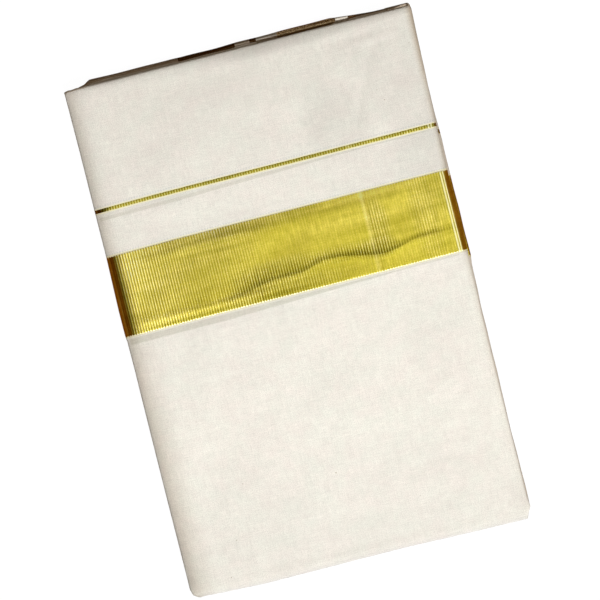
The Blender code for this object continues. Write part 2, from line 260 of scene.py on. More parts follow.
# Creases pressed or rubbed into the front, as bent lines over ACROSS and DOWN.  A positive height is a
# ridge and a negative one a trough.  The lean makes one flank wider than the other.
FRONT_CREASES = (
    # half width, height, lean, line
    (0.0032, -0.00034, 0.3, ((0.2250, 0.014), (0.2160, 0.036), (0.2040, 0.062), (0.1945, 0.084))),
    (0.0055, 0.00024, 0.0, ((0.2330, 0.018), (0.2260, 0.040), (0.2150, 0.064), (0.2060, 0.084))),
    (0.0026, -0.00020, 0.2, ((0.1780, 0.0120), (0.2050, 0.0120), (0.2440, 0.0100))),
    (0.0024, 0.00015, 0.0, ((0.1980, 0.0165), (0.2200, 0.0165), (0.2460, 0.0155))),
    (0.0024, -0.00014, 0.0, ((0.2020, 0.0215), (0.2240, 0.0220), (0.2440, 0.0200))),
    (0.0070, -0.00022, 0.0, ((0.1000, 0.0120), (0.1350, 0.0150), (0.1650, 0.0110))),
    (0.0060, -0.00016, 0.0, ((0.0200, 0.0560), (0.0550, 0.0490), (0.0900, 0.0520))),
    (0.0060, 0.00018, 0.0, ((0.1160, 0.0400), (0.1450, 0.0480), (0.1700, 0.0420))),
    (0.0050, -0.00018, 0.0, ((0.1350, 0.0640), (0.1600, 0.0600), (0.1850, 0.0660))),
    (0.0036, 0.00026, 0.3, ((0.1950, 0.2790), (0.2100, 0.2700), (0.2270, 0.2630), (0.2450, 0.2560))),
    (0.0030, 0.00020, 0.3, ((0.2060, 0.2790), (0.2200, 0.2720), (0.2440, 0.2620))),
    (0.0034, 0.00018, 0.0, ((0.2000, 0.2970), (0.2180, 0.2960), (0.2400, 0.2950))),
    (0.0038, -0.00018, 0.0, ((0.1600, 0.3250), (0.2000, 0.3190), (0.2350, 0.3220))),
    (0.0042, 0.00016, 0.0, ((0.0700, 0.3420), (0.1150, 0.3370), (0.1600, 0.3390))),
    (0.0036, -0.00016, 0.0, ((0.0260, 0.2200), (0.0500, 0.2280), (0.0830, 0.2260))),
    (0.0050, -0.00030, 0.0, ((0.0100, 0.3660), (0.0900, 0.3655), (0.1600, 0.3665), (0.2460, 0.3650))),
    (0.0050, 0.00016, 0.0, ((0.1300, 0.2450), (0.1420, 0.2700), (0.1400, 0.3000))),
    (0.0019, 0.00018, 0.55, CRUMPLE),
    (0.0019, 0.00017, 0.55, SECOND_CRUMPLE),
    (0.0030, 0.00007, 0.1, ((-0.0100, 0.1288), (0.0400, 0.1300), (0.0850, 0.1292), (0.1280, 0.1289))),
    (0.0050, 0.00005, 0.0, ((0.1500, 0.1440), (0.1800, 0.1480), (0.2300, 0.1450))),
)
# Share of a crease's length over which each of its ends fades.
CREASE_ENDS = 0.22
# Sharp old fold lines that run DOWN: ACROSS, start, end, half width and height.
FOLD_LINES = (
    (0.1020, 0.2150, 0.3300, 0.00045, 0.00012),
    (0.1894, 0.0960, 0.2050, 0.00050, 0.00008),
)
FOLD_LINE_ENDS = 0.0120
FOLD_LINE_OFFSETS = (-0.0011, -0.0006, -0.0003, 0.0, 0.0003, 0.0006, 0.0011)
# Soft troughs on the back panel, which lies on its face and so only dips away from the surface below.
BACK_CREASES = (
    (0.0040, 0.00035, 0.0, ((0.0300, 0.0420), (0.0750, 0.0500), (0.1240, 0.0470))),
    (0.0032, 0.00028, 0.2, ((0.1500, 0.0300), (0.1620, 0.0620), (0.1580, 0.0850))),
    (0.0046, 0.00030, 0.0, ((0.0900, 0.1700), (0.1400, 0.1600), (0.2100, 0.1680))),
    (0.0036, 0.00032, 0.3, ((0.0400, 0.2300), (0.0800, 0.2550), (0.1100, 0.2600))),
    (0.0042, 0.00026, 0.0, ((0.1500, 0.3000), (0.1900, 0.2850), (0.2300, 0.2900))),
    (0.0034, 0.00030, 0.2, ((0.0500, 0.3400), (0.1200, 0.3330), (0.1900, 0.3450))),
)
# Slow unevenness of the stack: waves per metre ACROSS and DOWN, phase and height.
SWELLS = (
    (9.0, 4.0, 0.4, 0.00011),
    (5.0, 11.0, 2.1, 0.00010),
    (17.0, 8.0, 4.0, 0.00006),
    (12.0, 21.0, 1.2, 0.00005),
    (31.0, 13.0, 5.1, 0.000028),
    (23.0, 37.0, 3.3, 0.000024),
    (47.0, 29.0, 0.9, 0.000014),
)
SWELL_FADE = 0.0120
# The band's swell starts this far above it, the swells and creases end this far from the packet's
# edges, and the fold lines fade in over this distance from its sides.
BAND_LEAD = 0.0020
UNEVEN_MARGIN = 0.0030
LINE_FADE = 0.0040

# Spacing of the points on the front, round the left shoulder and on the back, points on each rib, and
# the closer rows of points along seams and loose edges.
FRONT_STEP = 0.0016
SHOULDER_STEP = 0.0007
BACK_STEP = 0.0050
RIB_POINTS = 7
SEAM_ROWS = (0.0, 0.00018, 0.00036, 0.0006, 0.0009)
FOLD_SEAM_ROWS = (0.0, 0.0004)
EDGE_ROWS = (0.0, 0.00004, 0.00012, 0.0003, 0.0006, 0.0010, 0.0016)
# Points round the second fold, round each thin inner fold, and on the legs of each.
SECOND_TURN_POINTS = 27
SECOND_LEG_POINTS = 5
INNER_TURN_POINTS = 13
INNER_LEG_POINTS = 4
# Ribs: height, share of it on the thin lines and at a border's edges, distance over which they sink
# there, and the power that makes their crests broad.
RIB_RISE = 0.00030
LINE_RIB_SHARE = 0.30
RIB_END_SHARE = 0.45
RIB_TAPER = 0.0007
RIB_ROUND = 0.85
# Angles round the folds, from level: where the ribs end on the right turn, under the left fold and on
# the second fold, each with the turn over which they fade, and how far round the creases fade.
RIBS_ON_TURN = (-1.2, 0.5)
RIBS_UNDER = (4.2, 0.4)
RIBS_ON_SECOND = (1.25, 0.4)
RELIEF_ON_TURN = 1.2
# Wander of the folds' and leaves' edges: size and radians per metre of each sine.
SECOND_WAVER = ((0.00012, 95.0), (0.00008, 213.0))
INNER_WAVER = ((0.00016, 61.0), (0.00009, 173.0))
INNER_LIFT = ((0.00008, 47.0),)
LEAF_WAVER = ((0.00022, 37.0), (0.00012, 131.0))
LEAF_LIFT = ((0.00005, 53.0), (0.00003, 167.0))


def column(table, places, index):
    """Value of one column of a table at each place, straight between its rows."""
    rows = np.array(table)
    return np.interp(places, rows[:, 0], rows[:, index])


def soft_step(value):
    """0 below 0, 1 above 1, and an S curve between: 3t^2 - 2t^3."""
    t = np.clip(value, 0.0, 1.0)
    return t * t * (3.0 - 2.0 * t)


def hump(value):
    """Bell curve: 1 at 0, and e^-1 where the value is 1."""
    return np.exp(-(value**2))


def waver(along, waves, phases):
    """Slow wander along an edge: the sum of the waves' sines, each with its own phase."""
    return sum(size * np.sin(rate * along + phase) for (size, rate), phase in zip(waves, phases))


def place(across, down, up):
    """Points in the packet's own frame, with the origin under the middle of its box."""
    x = across - ACROSS_CENTRE
    y = DOWN_CENTRE - down
    return np.stack(np.broadcast_arrays(x, y, up), axis=-1)


def smooth_path(points, steps):
    """A Catmull-Rom curve through the points, with `steps` places on each span."""
    knots = np.array(points, float)
    padded = np.vstack([2 * knots[0] - knots[1], knots, 2 * knots[-1] - knots[-2]])
    t = np.linspace(0.0, 1.0, steps, endpoint=False)[:, None, None]
    a, b, c, d = padded[:-3], padded[1:-2], padded[2:-1], padded[3:]
    curve = b + 0.5 * t * (
        c - a + t * (2 * a - 5 * b + 4 * c - d + t * (3 * (b - c) + d - a))
    )
    curve = curve.transpose(1, 0, 2).reshape(-1, knots.shape[1])
    return np.vstack([curve, knots[-1]])


def crease_relief(across, down, creases):
    """Height that the creases add: a bell across each bent line, fading towards the line's ends.

    The distance to a line is the least of the distances to its short straight spans.  The bell's half
    width is width * (1 + lean) on one side of the line and width * (1 - lean) on the other.
    """
    relief = np.zeros(np.broadcast(across, down).shape)
    for width, height, lean, line in creases:
        path = smooth_path(line, 5)
        spans = np.diff(path, axis=0)
        lengths = np.hypot(spans[:, 0], spans[:, 1])
        starts = np.concatenate([[0.0], np.cumsum(lengths)])
        nearest = np.full(relief.shape, np.inf)
        along = np.zeros(relief.shape)
        side = np.zeros(relief.shape)
        for (a, d), (step_a, step_d), length, start in zip(path, spans, lengths, starts):
            t = ((across - a) * step_a + (down - d) * step_d) / length**2
            t = np.clip(t, 0.0, 1.0)
            distance = np.hypot(across - a - t * step_a, down - d - t * step_d)
            cross = (down - d) * step_a - (across - a) * step_d
            closer = distance < nearest
            along = np.where(closer, start + t * length, along)
            side = np.where(closer, np.sign(cross), side)
            nearest = np.minimum(nearest, distance)
        share = along / starts[-1]
        ends = soft_step(np.minimum(share, 1.0 - share) / CREASE_ENDS)
        relief = relief + height * hump(nearest / (width * (1.0 + lean * side))) * ends
    return relief


def fold_line_relief(across, down):
    """Fine straight ridges where the cloth was once folded the other way."""
    relief = np.zeros(np.broadcast(across, down).shape)
    for middle, start, end, width, height in FOLD_LINES:
        ends = soft_step(np.minimum(down - start, end - down) / FOLD_LINE_ENDS)
        relief = relief + height * hump((across - middle) / width) * ends
    return relief


def swell(across, down):
    """Slow waves of the stack below, a sum of slanted sines."""
    relief = np.zeros(np.broadcast(across, down).shape)
    for waves_across, waves_down, phase, height in SWELLS:
        angle = 2 * math.pi * (waves_across * across + waves_down * down) + phase
        relief = relief + height * np.sin(angle)
    return relief


def end_slope(across, down):
    """How far the front sinks near its top and bottom edges: depth * (1 - distance/length)^power."""
    length, depth = column(TOP_SLOPE, across, 1), column(TOP_SLOPE, across, 2)
    from_top = np.clip((down - WRAP_STRETCHES[0][1]) / length, 0.0, 1.0)
    from_bottom = np.clip((WRAP_STRETCHES[-1][2] - down) / BOTTOM_SLOPE[0], 0.0, 1.0)
    top = depth * (1.0 - from_top) ** SLOPE_POWER
    return top + BOTTOM_SLOPE[1] * (1.0 - from_bottom) ** SLOPE_POWER


def front_relief(across, down):
    """Height of the front above the flat stack.

    The crown and the stiff band's swell, less the sinking ends, and the creases.
    """
    side = np.minimum(across - LEFT_REACH, PANEL_WIDTH - FRONT_ROUND - across)
    end = np.minimum(down, PANEL_LENGTH - down)
    crown = CROWN * soft_step(side / CROWN_EDGE) * soft_step(end / CROWN_EDGE)
    along = np.minimum(down - BAND[0] + BAND_LEAD, BAND[1] + BAND_EDGE - down)
    band = BAND_SWELL * soft_step(side / CROWN_EDGE) * soft_step(along / BAND_EDGE)
    side = np.minimum(across - UNEVEN_MARGIN, PANEL_WIDTH - across)
    fade = soft_step(side / SWELL_FADE) * soft_step((end + UNEVEN_MARGIN) / SWELL_FADE)
    uneven = swell(across, down) + crease_relief(across, down, FRONT_CREASES)
    lines = soft_step(side / LINE_FADE) * fold_line_relief(across, down)
    return crown + band + fade * uneven + lines - end_slope(across, down)


# How high the ribs stand, as a share of RIB_RISE, by ACROSS.
RIB_SHARES = (
    (-0.020, 0.10),
    (0.004, 0.15),
    (0.007, 1.05),
    (0.032, 1.15),
    (0.060, 1.20),
    (0.110, 1.15),
    (0.160, 1.00),
    (0.188, 1.00),
    (0.191, 1.20),
    (0.202, 1.05),
    (0.238, 1.05),
    (0.244, 1.00),
    (0.2504, 1.00),
    (0.2514, 0.10),
    (0.270, 0.10),
)


def rib_relief(cloth_across, down, name):
    """Ribs of the woven borders: crests along DOWN, |sin|^RIB_ROUND of half a pitch, lower at the edges."""
    if "outer_zari" not in name and "second_zari" not in name:
        return np.zeros(np.broadcast(cloth_across, down).shape)
    crest = np.abs(np.sin(math.pi * cloth_across / RIB_PITCH)) ** RIB_ROUND
    ends = soft_step(np.minimum(down - down.min(), down.max() - down) / RIB_TAPER)
    rise = RIB_RISE if "band" in name else LINE_RIB_SHARE * RIB_RISE
    rise = rise * (RIB_END_SHARE + (1.0 - RIB_END_SHARE) * ends)
    return rise * column(RIB_SHARES, cloth_across, 1) * crest


def facing_out(points, faces):
    """The faces, turned round if the volume that they enclose comes out negative."""
    a, b, c, d = (points[faces[:, i]] for i in range(4))
    volume = (a * np.cross(b, c)).sum() + (a * np.cross(c, d)).sum()
    return faces[:, ::-1] if volume < 0 else faces


def closed_wall(outer, inner, cloth):
    """A body between an outer and an inner grid of points, closed round its rim."""
    rows, columns = outer.shape[:2]
    count = rows * columns
    grid = np.arange(count).reshape(rows, columns)
    sheet = np.stack([grid[:-1, :-1], grid[:-1, 1:], grid[1:, 1:], grid[1:, :-1]], axis=-1)
    sheet = sheet.reshape(-1, 4)
    rim = np.concatenate([grid[0, :-1], grid[:-1, -1], grid[-1, :0:-1], grid[:0:-1, 0]])
    after = np.roll(rim, -1)
    edge = np.stack([rim, rim + count, after + count, after], axis=-1)
    faces = np.concatenate([sheet, sheet[:, ::-1] + count, edge])
    points = np.concatenate([outer.reshape(-1, 3), inner.reshape(-1, 3)])
    flat = np.concatenate([cloth.reshape(-1, 2), cloth.reshape(-1, 2)])
    return points, facing_out(points, faces), flat


def add_piece(name, bodies, material, nodes=()):
    """One object from several closed bodies, with its map of the cloth, its finish and its node."""
    points, faces, flat, start = [], [], [], 0
    for body_points, body_faces, body_flat in bodies:
        points.append(body_points)
        faces.append(body_faces + start)
        flat.append(body_flat)
        start += len(body_points)
    points, faces, flat = np.concatenate(points), np.concatenate(faces), np.concatenate(flat)
    mesh = bpy.data.meshes.new(f"{name}_cloth")
    mesh.vertices.add(len(points))
    mesh.vertices.foreach_set("co", points.astype(np.float32).ravel())
    mesh.loops.add(faces.size)
    mesh.loops.foreach_set("vertex_index", faces.astype(np.int32).ravel())
    mesh.polygons.add(len(faces))
    mesh.polygons.foreach_set("loop_start", np.arange(0, faces.size, 4, dtype=np.int32))
    mesh.update(calc_edges=True)
    layer = mesh.uv_layers.new(name="cloth")
    layer.data.foreach_set("uv", flat[faces.ravel()].astype(np.float32).ravel())
    mesh.shade_smooth()
    mesh.set_sharp_from_angle(angle=math.radians(62))
    mesh.materials.append(material)
    piece = bpy.data.objects.new(f"{name}_cloth", mesh)
    bpy.context.scene.collection.objects.link(piece)
    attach(piece, "root")
    if nodes:
        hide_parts(*nodes)
    return piece


def edge_places(start, end, step, start_rows, end_rows):
    """Places along a stretch: even, and closer together towards each end as the end's rows say."""
    inner_start, inner_end = start + start_rows[-1], end - end_rows[-1]
    count = max(2, round((inner_end - inner_start) / step) + 1)
    middle = np.linspace(inner_start, inner_end, count)
    places = np.concatenate([start + np.array(start_rows), middle, end - np.array(end_rows)])
    return np.unique(places.round(7))


def end_rolls(places, start, end, rolls_start, rolls_end):
    """How much thinner each face gets at a loose end, and how far the cloth dips there.

    The faces close along a quarter circle of half the cloth's thickness, and the dip is a quarter
    ellipse EDGE_ROLL long and EDGE_DROP deep.
    """
    half = CLOTH / 2
    from_end = np.full(places.shape, np.inf)
    if rolls_start:
        from_end = np.minimum(from_end, places - start)
    if rolls_end:
        from_end = np.minimum(from_end, end - places)
    near = half - np.clip(from_end, 0.0, half)
    pinch = EDGE_PINCH * (half - np.sqrt(half**2 - near**2))
    roll = 1.0 - np.clip(from_end, 0.0, EDGE_ROLL) / EDGE_ROLL
    dip = EDGE_DROP * (1.0 - np.sqrt(1.0 - roll**2))
    return pinch[:, None], dip[:, None]


def developed(points):
    """Mean length of a grid's rows: the cloth's width once it is unfolded."""
    return float(np.linalg.norm(np.diff(points, axis=1), axis=-1).sum(axis=1).mean())


def ellipse_angles(reach, height, step):
    """Angles from the top of a quarter ellipse to its left end, and how far along it each one lies."""
    fine = np.linspace(math.pi / 2, math.pi, 400)
    legs = np.hypot(np.diff(reach * np.cos(fine)), np.diff(height * np.sin(fine)))
    arc = np.concatenate([[0.0], np.cumsum(legs)])
    along = np.linspace(0.0, arc[-1], max(16, round(arc[-1] / step)) + 1)
    return np.interp(along, arc, fine), along


def wrap_stations(weave):
    """Angles and shares at which the wrap's section is worked out, closer together on ribbed cloth."""
    quarter = math.pi / 2
    step = RIB_PITCH / RIB_POINTS if weave == "zari" else FRONT_STEP
    front_length = PANEL_WIDTH - LEFT_REACH
    turn_steps = max(22, round(math.pi * FRONT_ROUND / step))
    front = np.linspace(0.0, 1.0, round(front_length / step) + 1)
    extra = []
    for line in FOLD_LINES:
        across = line[0] + np.array(FOLD_LINE_OFFSETS)
        extra.append((PANEL_WIDTH - FRONT_ROUND - across) / (front_length - FRONT_ROUND))
    front = np.unique(np.concatenate([front, *extra]).round(6))[1:-1]
    return {
        "turn": np.linspace(-quarter, quarter, turn_steps + 1),
        "front": front,
        "shoulder": ellipse_angles(LEFT_REACH, STACK_HEIGHT / 2, min(step, SHOULDER_STEP)),
        "under": np.linspace(2 * quarter, 3 * quarter, 13)[1:],
        "back": np.linspace(0.0, 1.0, round(BACK_END / BACK_STEP) + 1)[1:],
    }


def wrap_section(down, stations, name, face, pinch, dip):
    """Section of the outer wrap at each place DOWN, for its outer face (0) or inner face (1).

    From the tucked edge the cloth runs along a leg, round half an ellipse at the right, over the front,
    down a long quarter ellipse at the left, round a quarter circle under it and along the back panel.
    Each point is moved in along the section's normal by its depth, and out by creases and ribs.
    """
    left = column(WRAP_EDGES, down, 1)
    right = column(WRAP_EDGES, down, 2)
    radius = STACK_HEIGHT / 2
    low = UPPER_FOLD[0]
    middle, half = (STACK_HEIGHT + low) / 2, (STACK_HEIGHT - low) / 2
    depth = CLOTH - pinch if face else pinch

    def ribs(cloth_across):
        """Height of the ribs on the outer face; the inner face has none."""
        return 0.0 if face else rib_relief(cloth_across, down, name)

    angles = stations["turn"]
    reach = column(TURN_SHAPE, down, 2)
    front_start, front_end = right - reach, left + LEFT_REACH
    cloth_turn = front_start + FRONT_ROUND * (math.pi / 2 - angles)
    inset = depth + dip - ribs(cloth_turn) * soft_step((angles - RIBS_ON_TURN[0]) / RIBS_ON_TURN[1])
    sine, cosine = np.sin(angles), np.cos(angles).clip(0.0, 1.0)
    power = column(TURN_SHAPE, down, 1)
    turn_across = front_start + (reach - inset) * cosine**power
    relief = front_relief(turn_across, down) * soft_step(angles / RELIEF_ON_TURN)
    turn_up = middle + (half - inset) * np.sign(sine) * np.abs(sine) ** power + relief

    front_across = front_start + (front_end - front_start) * stations["front"]
    relief = front_relief(front_across, down)
    front_up = STACK_HEIGHT - depth - dip + relief + ribs(front_across)

    angles, along = stations["shoulder"]
    cloth_shoulder = front_end - along
    inset = depth + dip - ribs(cloth_shoulder)
    shoulder_across = front_end + (LEFT_REACH - inset) * np.cos(angles)
    relief = front_relief(shoulder_across, down) * np.sin(angles)
    shoulder_up = radius + (radius - inset) * np.sin(angles) + relief

    angles = stations["under"]
    centre = left + radius
    cloth_under = cloth_shoulder[:, -1:] - radius * (angles - math.pi)
    inset = depth + dip - ribs(cloth_under) * soft_step((RIBS_UNDER[0] - angles) / RIBS_UNDER[1])
    under_across = centre + (radius - inset) * np.cos(angles)
    under_up = radius + (radius - inset) * np.sin(angles)

    back_across = centre + (BACK_END - centre) * stations["back"]
    dips = crease_relief(back_across, down, BACK_CREASES)
    side = np.minimum(back_across - radius, BACK_END - back_across)
    back_up = depth + dips * soft_step(side / SWELL_FADE)
    cloth_back = cloth_under[:, -1:] - (back_across - centre)

    leg_across = right - TUCK
    leg_up = low + depth
    cloth_leg = cloth_turn[:, :1] + (TUCK - FRONT_ROUND)
    across = [leg_across, turn_across, front_across, shoulder_across, under_across, back_across]
    up = [leg_up, turn_up, front_up, shoulder_up, under_up, back_up]
    cloth = [cloth_leg, cloth_turn, front_across, cloth_shoulder, cloth_under, cloth_back]
    rows = down.shape[0]
    across, up, cloth = (
        np.concatenate([np.broadcast_to(a, (rows, a.shape[1])) for a in run], axis=1)
        for run in (across, up, cloth)
    )
    flat = np.stack(np.broadcast_arrays(cloth, down), axis=-1)
    drift = column(WRAP_EDGES, down, 3) * across / PANEL_WIDTH
    near = 1.0 - soft_step(across / LEFT_SAG_REACH)
    sag = LEFT_SAG * near * soft_step((BAND[1] - down) / LEFT_SAG_REACH)
    bow = hump((across - BOW_ACROSS[0]) / BOW_ACROSS[1]) * hump((down - BOW_DOWN[0]) / BOW_DOWN[1])
    flare = column(TOP_FLARE, across, 1) * (1.0 - soft_step(down / TOP_FLARE_LENGTH))
    fall = soft_step((down - BOTTOM_FLARE_START) / TOP_FLARE_LENGTH)
    fall = column(BOTTOM_FLARE, across, 1) * fall
    return place(across, down + drift + sag - BOW * bow - flare + fall, up), flat


def add_wrap(finishes):
    """The outer wrap's stretches, each a closed wall: its section carried along DOWN."""
    pieces, flats = {}, {}
    first, last = WRAP_STRETCHES[0][0], WRAP_STRETCHES[-1][0]
    for name, start, end, weave in WRAP_STRETCHES:
        start_rows = EDGE_ROWS if name == first else SEAM_ROWS
        end_rows = EDGE_ROWS if name == last else SEAM_ROWS
        places = edge_places(start, end, FRONT_STEP, start_rows, end_rows)
        pinch, dip = end_rolls(places, start, end, name == first, name == last)
        down = places[:, None]
        stations = wrap_stations(weave)
        outer, flat = wrap_section(down, stations, name, 0, pinch, dip)
        inner, _ = wrap_section(down, stations, name, 1, pinch, dip)
        body = closed_wall(outer, inner, flat)
        pieces[name] = add_piece(name, [body], finishes[weave], [name])
        flats[name] = (developed(inner), end - start)
    return pieces, flats


def fold_section(reach, leg_in, rounding, heights, turns, inset, legs):
    """Section of a folded edge: in along a lower leg, round half an ellipse, back along an upper leg.

    The ellipse has `rounding` as its reach and half the fold's height as its other radius.  `inset`
    moves the points in from the outer face.  Returns how far out and how high each point is.
    """
    low, high = heights
    middle, half = (low + high) / 2, (high - low) / 2
    out = reach - rounding + (rounding - inset) * np.cos(turns)
    up = middle + (half - inset) * np.sin(turns)
    shares = np.linspace(0.0, 1.0, legs, endpoint=False)
    leg = leg_in + (reach - rounding - leg_in) * shares
    rows = out.shape[0]
    low_up = np.broadcast_to((low + inset)[:, :1], (rows, legs))
    high_up = np.broadcast_to((high - inset)[:, -1:], (rows, legs))
    out = np.concatenate([leg, out, leg[:, ::-1]], axis=1)
    return out, np.concatenate([low_up, up, high_up], axis=1)


def arc_lengths(out, up):
    """How far along the section each point lies, row by row."""
    steps = np.hypot(np.diff(out, axis=1), np.diff(up, axis=1))
    return np.concatenate([np.zeros((out.shape[0], 1)), np.cumsum(steps, axis=1)], axis=1)


def add_second_fold(finishes):
    """The next layer's right-hand fold, swept along DOWN."""
    pieces, flats = {}, {}
    quarter = math.pi / 2
    first, last = SECOND_STRETCHES[0][0], SECOND_STRETCHES[-1][0]
    marks = [SECOND_STRETCHES[0][1]] + [stretch[2] for stretch in SECOND_STRETCHES]
    woven = [WRAP_STRETCHES[0][1]] + [stretch[2] for stretch in WRAP_STRETCHES]
    for name, start, end, weave in SECOND_STRETCHES:
        start_rows = EDGE_ROWS if name == first else SEAM_ROWS
        end_rows = EDGE_ROWS if name == last else SEAM_ROWS
        places = edge_places(start, end, FRONT_STEP, start_rows, end_rows)
        pinch, dip = end_rolls(places, start, end, name == first, name == last)
        down = places[:, None]
        reach = column(SECOND_EDGES, down, 1) + waver(down, SECOND_WAVER, (0.0, 1.0))
        turns = np.linspace(-quarter, quarter, SECOND_TURN_POINTS)
        leg_in = np.full(reach.shape, PANEL_WIDTH - TUCK)
        ribs = rib_relief(reach + SECOND_ROUND * (quarter - turns), down, name)
        ribs = ribs * soft_step((RIBS_ON_SECOND[0] - np.abs(turns)) / RIBS_ON_SECOND[1])
        inner_inset = np.broadcast_to(CLOTH - pinch + dip, ribs.shape)
        (across, up), (inner_across, inner_up) = (
            fold_section(reach, leg_in, SECOND_ROUND, LOWER_FOLD, turns, inset, SECOND_LEG_POINTS)
            for inset in (pinch + dip - ribs, inner_inset)
        )
        inner = place(inner_across, down, inner_up)
        cloth = PANEL_WIDTH + arc_lengths(across, up)
        flat = np.stack([cloth, np.broadcast_to(np.interp(down, marks, woven), cloth.shape)], -1)
        body = closed_wall(place(across, down, up), inner, flat)
        pieces[name] = add_piece(name, [body], finishes[weave], [name])
        flats[name] = (developed(inner), end - start)
    return pieces, flats


# How high the folds at the top edge start and end; the upper one sinks under the front's long slope.
UPPER_SPAN = (
    # across, low,   high
    (0.0085, 0.0086, 0.0104),
    (0.0130, 0.0086, 0.0108),
    (0.0190, 0.0086, 0.0112),
    (0.2384, 0.0086, 0.0112),
    (0.2396, 0.0088, 0.0106),
)
LOWER_SPAN = ((0.0085, 0.0043, 0.0083), (0.2380, 0.0043, 0.0083), (0.2396, 0.0048, 0.0078))

# Thin folds that make up each thick fold at the top edge: lowest and highest point as shares of the
# thick fold's height, how far they stand back from its tip, and how round they are.
UPPER_LEAVES = (
    # low,  high, back,    round
    (0.00, 0.47, 0.0000, 0.0007),
    (0.53, 1.00, 0.0009, 0.0007),
)
LOWER_LEAVES = (
    (0.00, 0.30, 0.0000, 0.0006),
    (0.35, 0.63, 0.0007, 0.0006),
    (0.68, 1.00, 0.0016, 0.0007),
)
# Where a fold sticks out less than the first length, its thin folds end level, and past the second
# one more they stand back in full.
STAND_BACK = (0.0008, 0.0020)
# How far apart the thin folds lie on the map of the cloth.
LEAF_MAP_STEP = 0.0300

# A loose edge of cotton lying on one stretch of the lower fold, where it catches the light.
LOOSE_NAME = "lower_inner_gap_right"
LOOSE_RUN = (0.2022, 0.2114)
LOOSE_SECTION = (
    # out,    up
    (0.0032, 0.0086),
    (0.0038, 0.0096),
    (0.0046, 0.0104),
    (0.0054, 0.0104),
    (0.0059, 0.0096),
    (0.0058, 0.0086),
)
# How much less far out and how much lower it lies at its right end.
LOOSE_SINK = (0.0007, 0.0006)


def loose_edge():
    """The loose edge: LOOSE_SECTION smoothed and swept along ACROSS, sinking towards the right."""
    across = np.linspace(*LOOSE_RUN, 12)[:, None]
    section = smooth_path(LOOSE_SECTION, 4)
    sink = (across - LOOSE_RUN[0]) / (LOOSE_RUN[1] - LOOSE_RUN[0])
    step = np.gradient(section, axis=0)
    normal = np.stack([-step[:, 1], step[:, 0]], axis=-1)
    normal = normal / np.linalg.norm(normal, axis=-1, keepdims=True)
    grids = []
    for depth in (0.0, CLOTH):
        out = section[:, 0] - depth * normal[:, 0] - LOOSE_SINK[0] * sink
        up = section[:, 1] - depth * normal[:, 1] - LOOSE_SINK[1] * sink
        grids.append(place(across, -out, up))
        if depth == 0.0:
            cloth = arc_lengths(out, up)
    flat = np.stack([cloth, np.broadcast_to(across, cloth.shape)], axis=-1)
    return closed_wall(grids[0], grids[1], flat)


def add_inner_folds(stretches, leaves, span, reach_column, finishes):
    """The folds at the top edge: thin ones on each other, their sections carried along ACROSS."""
    pieces, flats = {}, {}
    quarter = math.pi / 2
    turns = np.linspace(-quarter, quarter, INNER_TURN_POINTS)
    first, last = stretches[0][0], stretches[-1][0]
    for name, start, end, weave in stretches:
        start_rows = EDGE_ROWS if name == first else FOLD_SEAM_ROWS
        end_rows = EDGE_ROWS if name == last else FOLD_SEAM_ROWS
        places = edge_places(start, end, FRONT_STEP, start_rows, end_rows)
        pinch, _ = end_rolls(places, start, end, name == first, name == last)
        across = places[:, None]
        low, high = column(span, across, 1), column(span, across, 2)
        bodies, width = [], 0.0
        for index, (share_low, share_high, back, rounding) in enumerate(leaves):
            phase = 2.3 * index + reach_column
            wave = waver(across, INNER_WAVER, (phase, 2.1 * phase))
            reach = column(INNER_EDGES, across, reach_column) + wave
            reach = reach - back * soft_step((reach - STAND_BACK[0]) / STAND_BACK[1])
            leg_in = np.full(reach.shape, -INNER_TUCK)
            lift = waver(across, INNER_LIFT, (1.7 * phase,))
            heights = (low + share_low * (high - low), low + share_high * (high - low))
            grids = []
            for depth in (pinch, CLOTH - pinch):
                inset = np.broadcast_to(depth, (places.size, turns.size))
                out, up = fold_section(reach, leg_in, rounding, heights, turns, inset, INNER_LEG_POINTS)
                grids.append(place(across, -out, up + lift))
            cloth = arc_lengths(out, up) + LEAF_MAP_STEP * index
            flat = np.stack([cloth, np.broadcast_to(across, cloth.shape)], axis=-1)
            bodies.append(closed_wall(grids[0], grids[1], flat))
            width += developed(grids[1])
        if name == LOOSE_NAME:
            bodies.append(loose_edge())
        pieces[name] = add_piece(name, bodies, finishes["fold " + weave], [name])
        flats[name] = (width, end - start)
    return pieces, flats


# Leaves of the hidden layers: spacing, thickness, lowest and highest, rounding of their corners, and
# places in from their edge as shares of the way to the packet's middle.
LEAF_PITCH = 0.00043
LEAF_THICK = 0.00030
LEAF_RANGE = (0.00055, 0.01330)
LEAF_CORNER = 0.0060
LEAF_SCALES = (0.0, 0.0002, 0.0006, 0.0012, 0.0090, 0.0620)
# How far they reach at the right, top and bottom, by height, and the most that each falls short.
LEAF_REACHES = (
    # up,     right,  top,     bottom
    (0.0005, 0.2500, 0.0006, 0.3722),
    (0.0027, 0.2505, 0.0002, 0.3730),
    (0.0041, 0.2512, 0.0000, 0.3734),
    (0.0043, 0.2500, 0.0090, 0.3730),
    (0.0083, 0.2500, 0.0090, 0.3734),
    (0.0085, 0.2380, 0.0090, 0.3730),
    (0.0088, 0.2480, 0.0090, 0.3736),
    (0.0122, 0.2478, 0.0090, 0.3738),
    (0.0124, 0.2472, 0.0080, 0.3738),
    (0.0133, 0.2460, 0.0080, 0.3740),
)
LEAF_SHORT = (0.0011, 0.0009, 0.0012)
LEAF_STEP = 0.0022
# How far the leaves stay inside the left fold's outer face, and how much further right they start at
# the bottom edge than at the top edge.
LEAF_CLEAR = 0.0009
LEAF_START = 0.0044


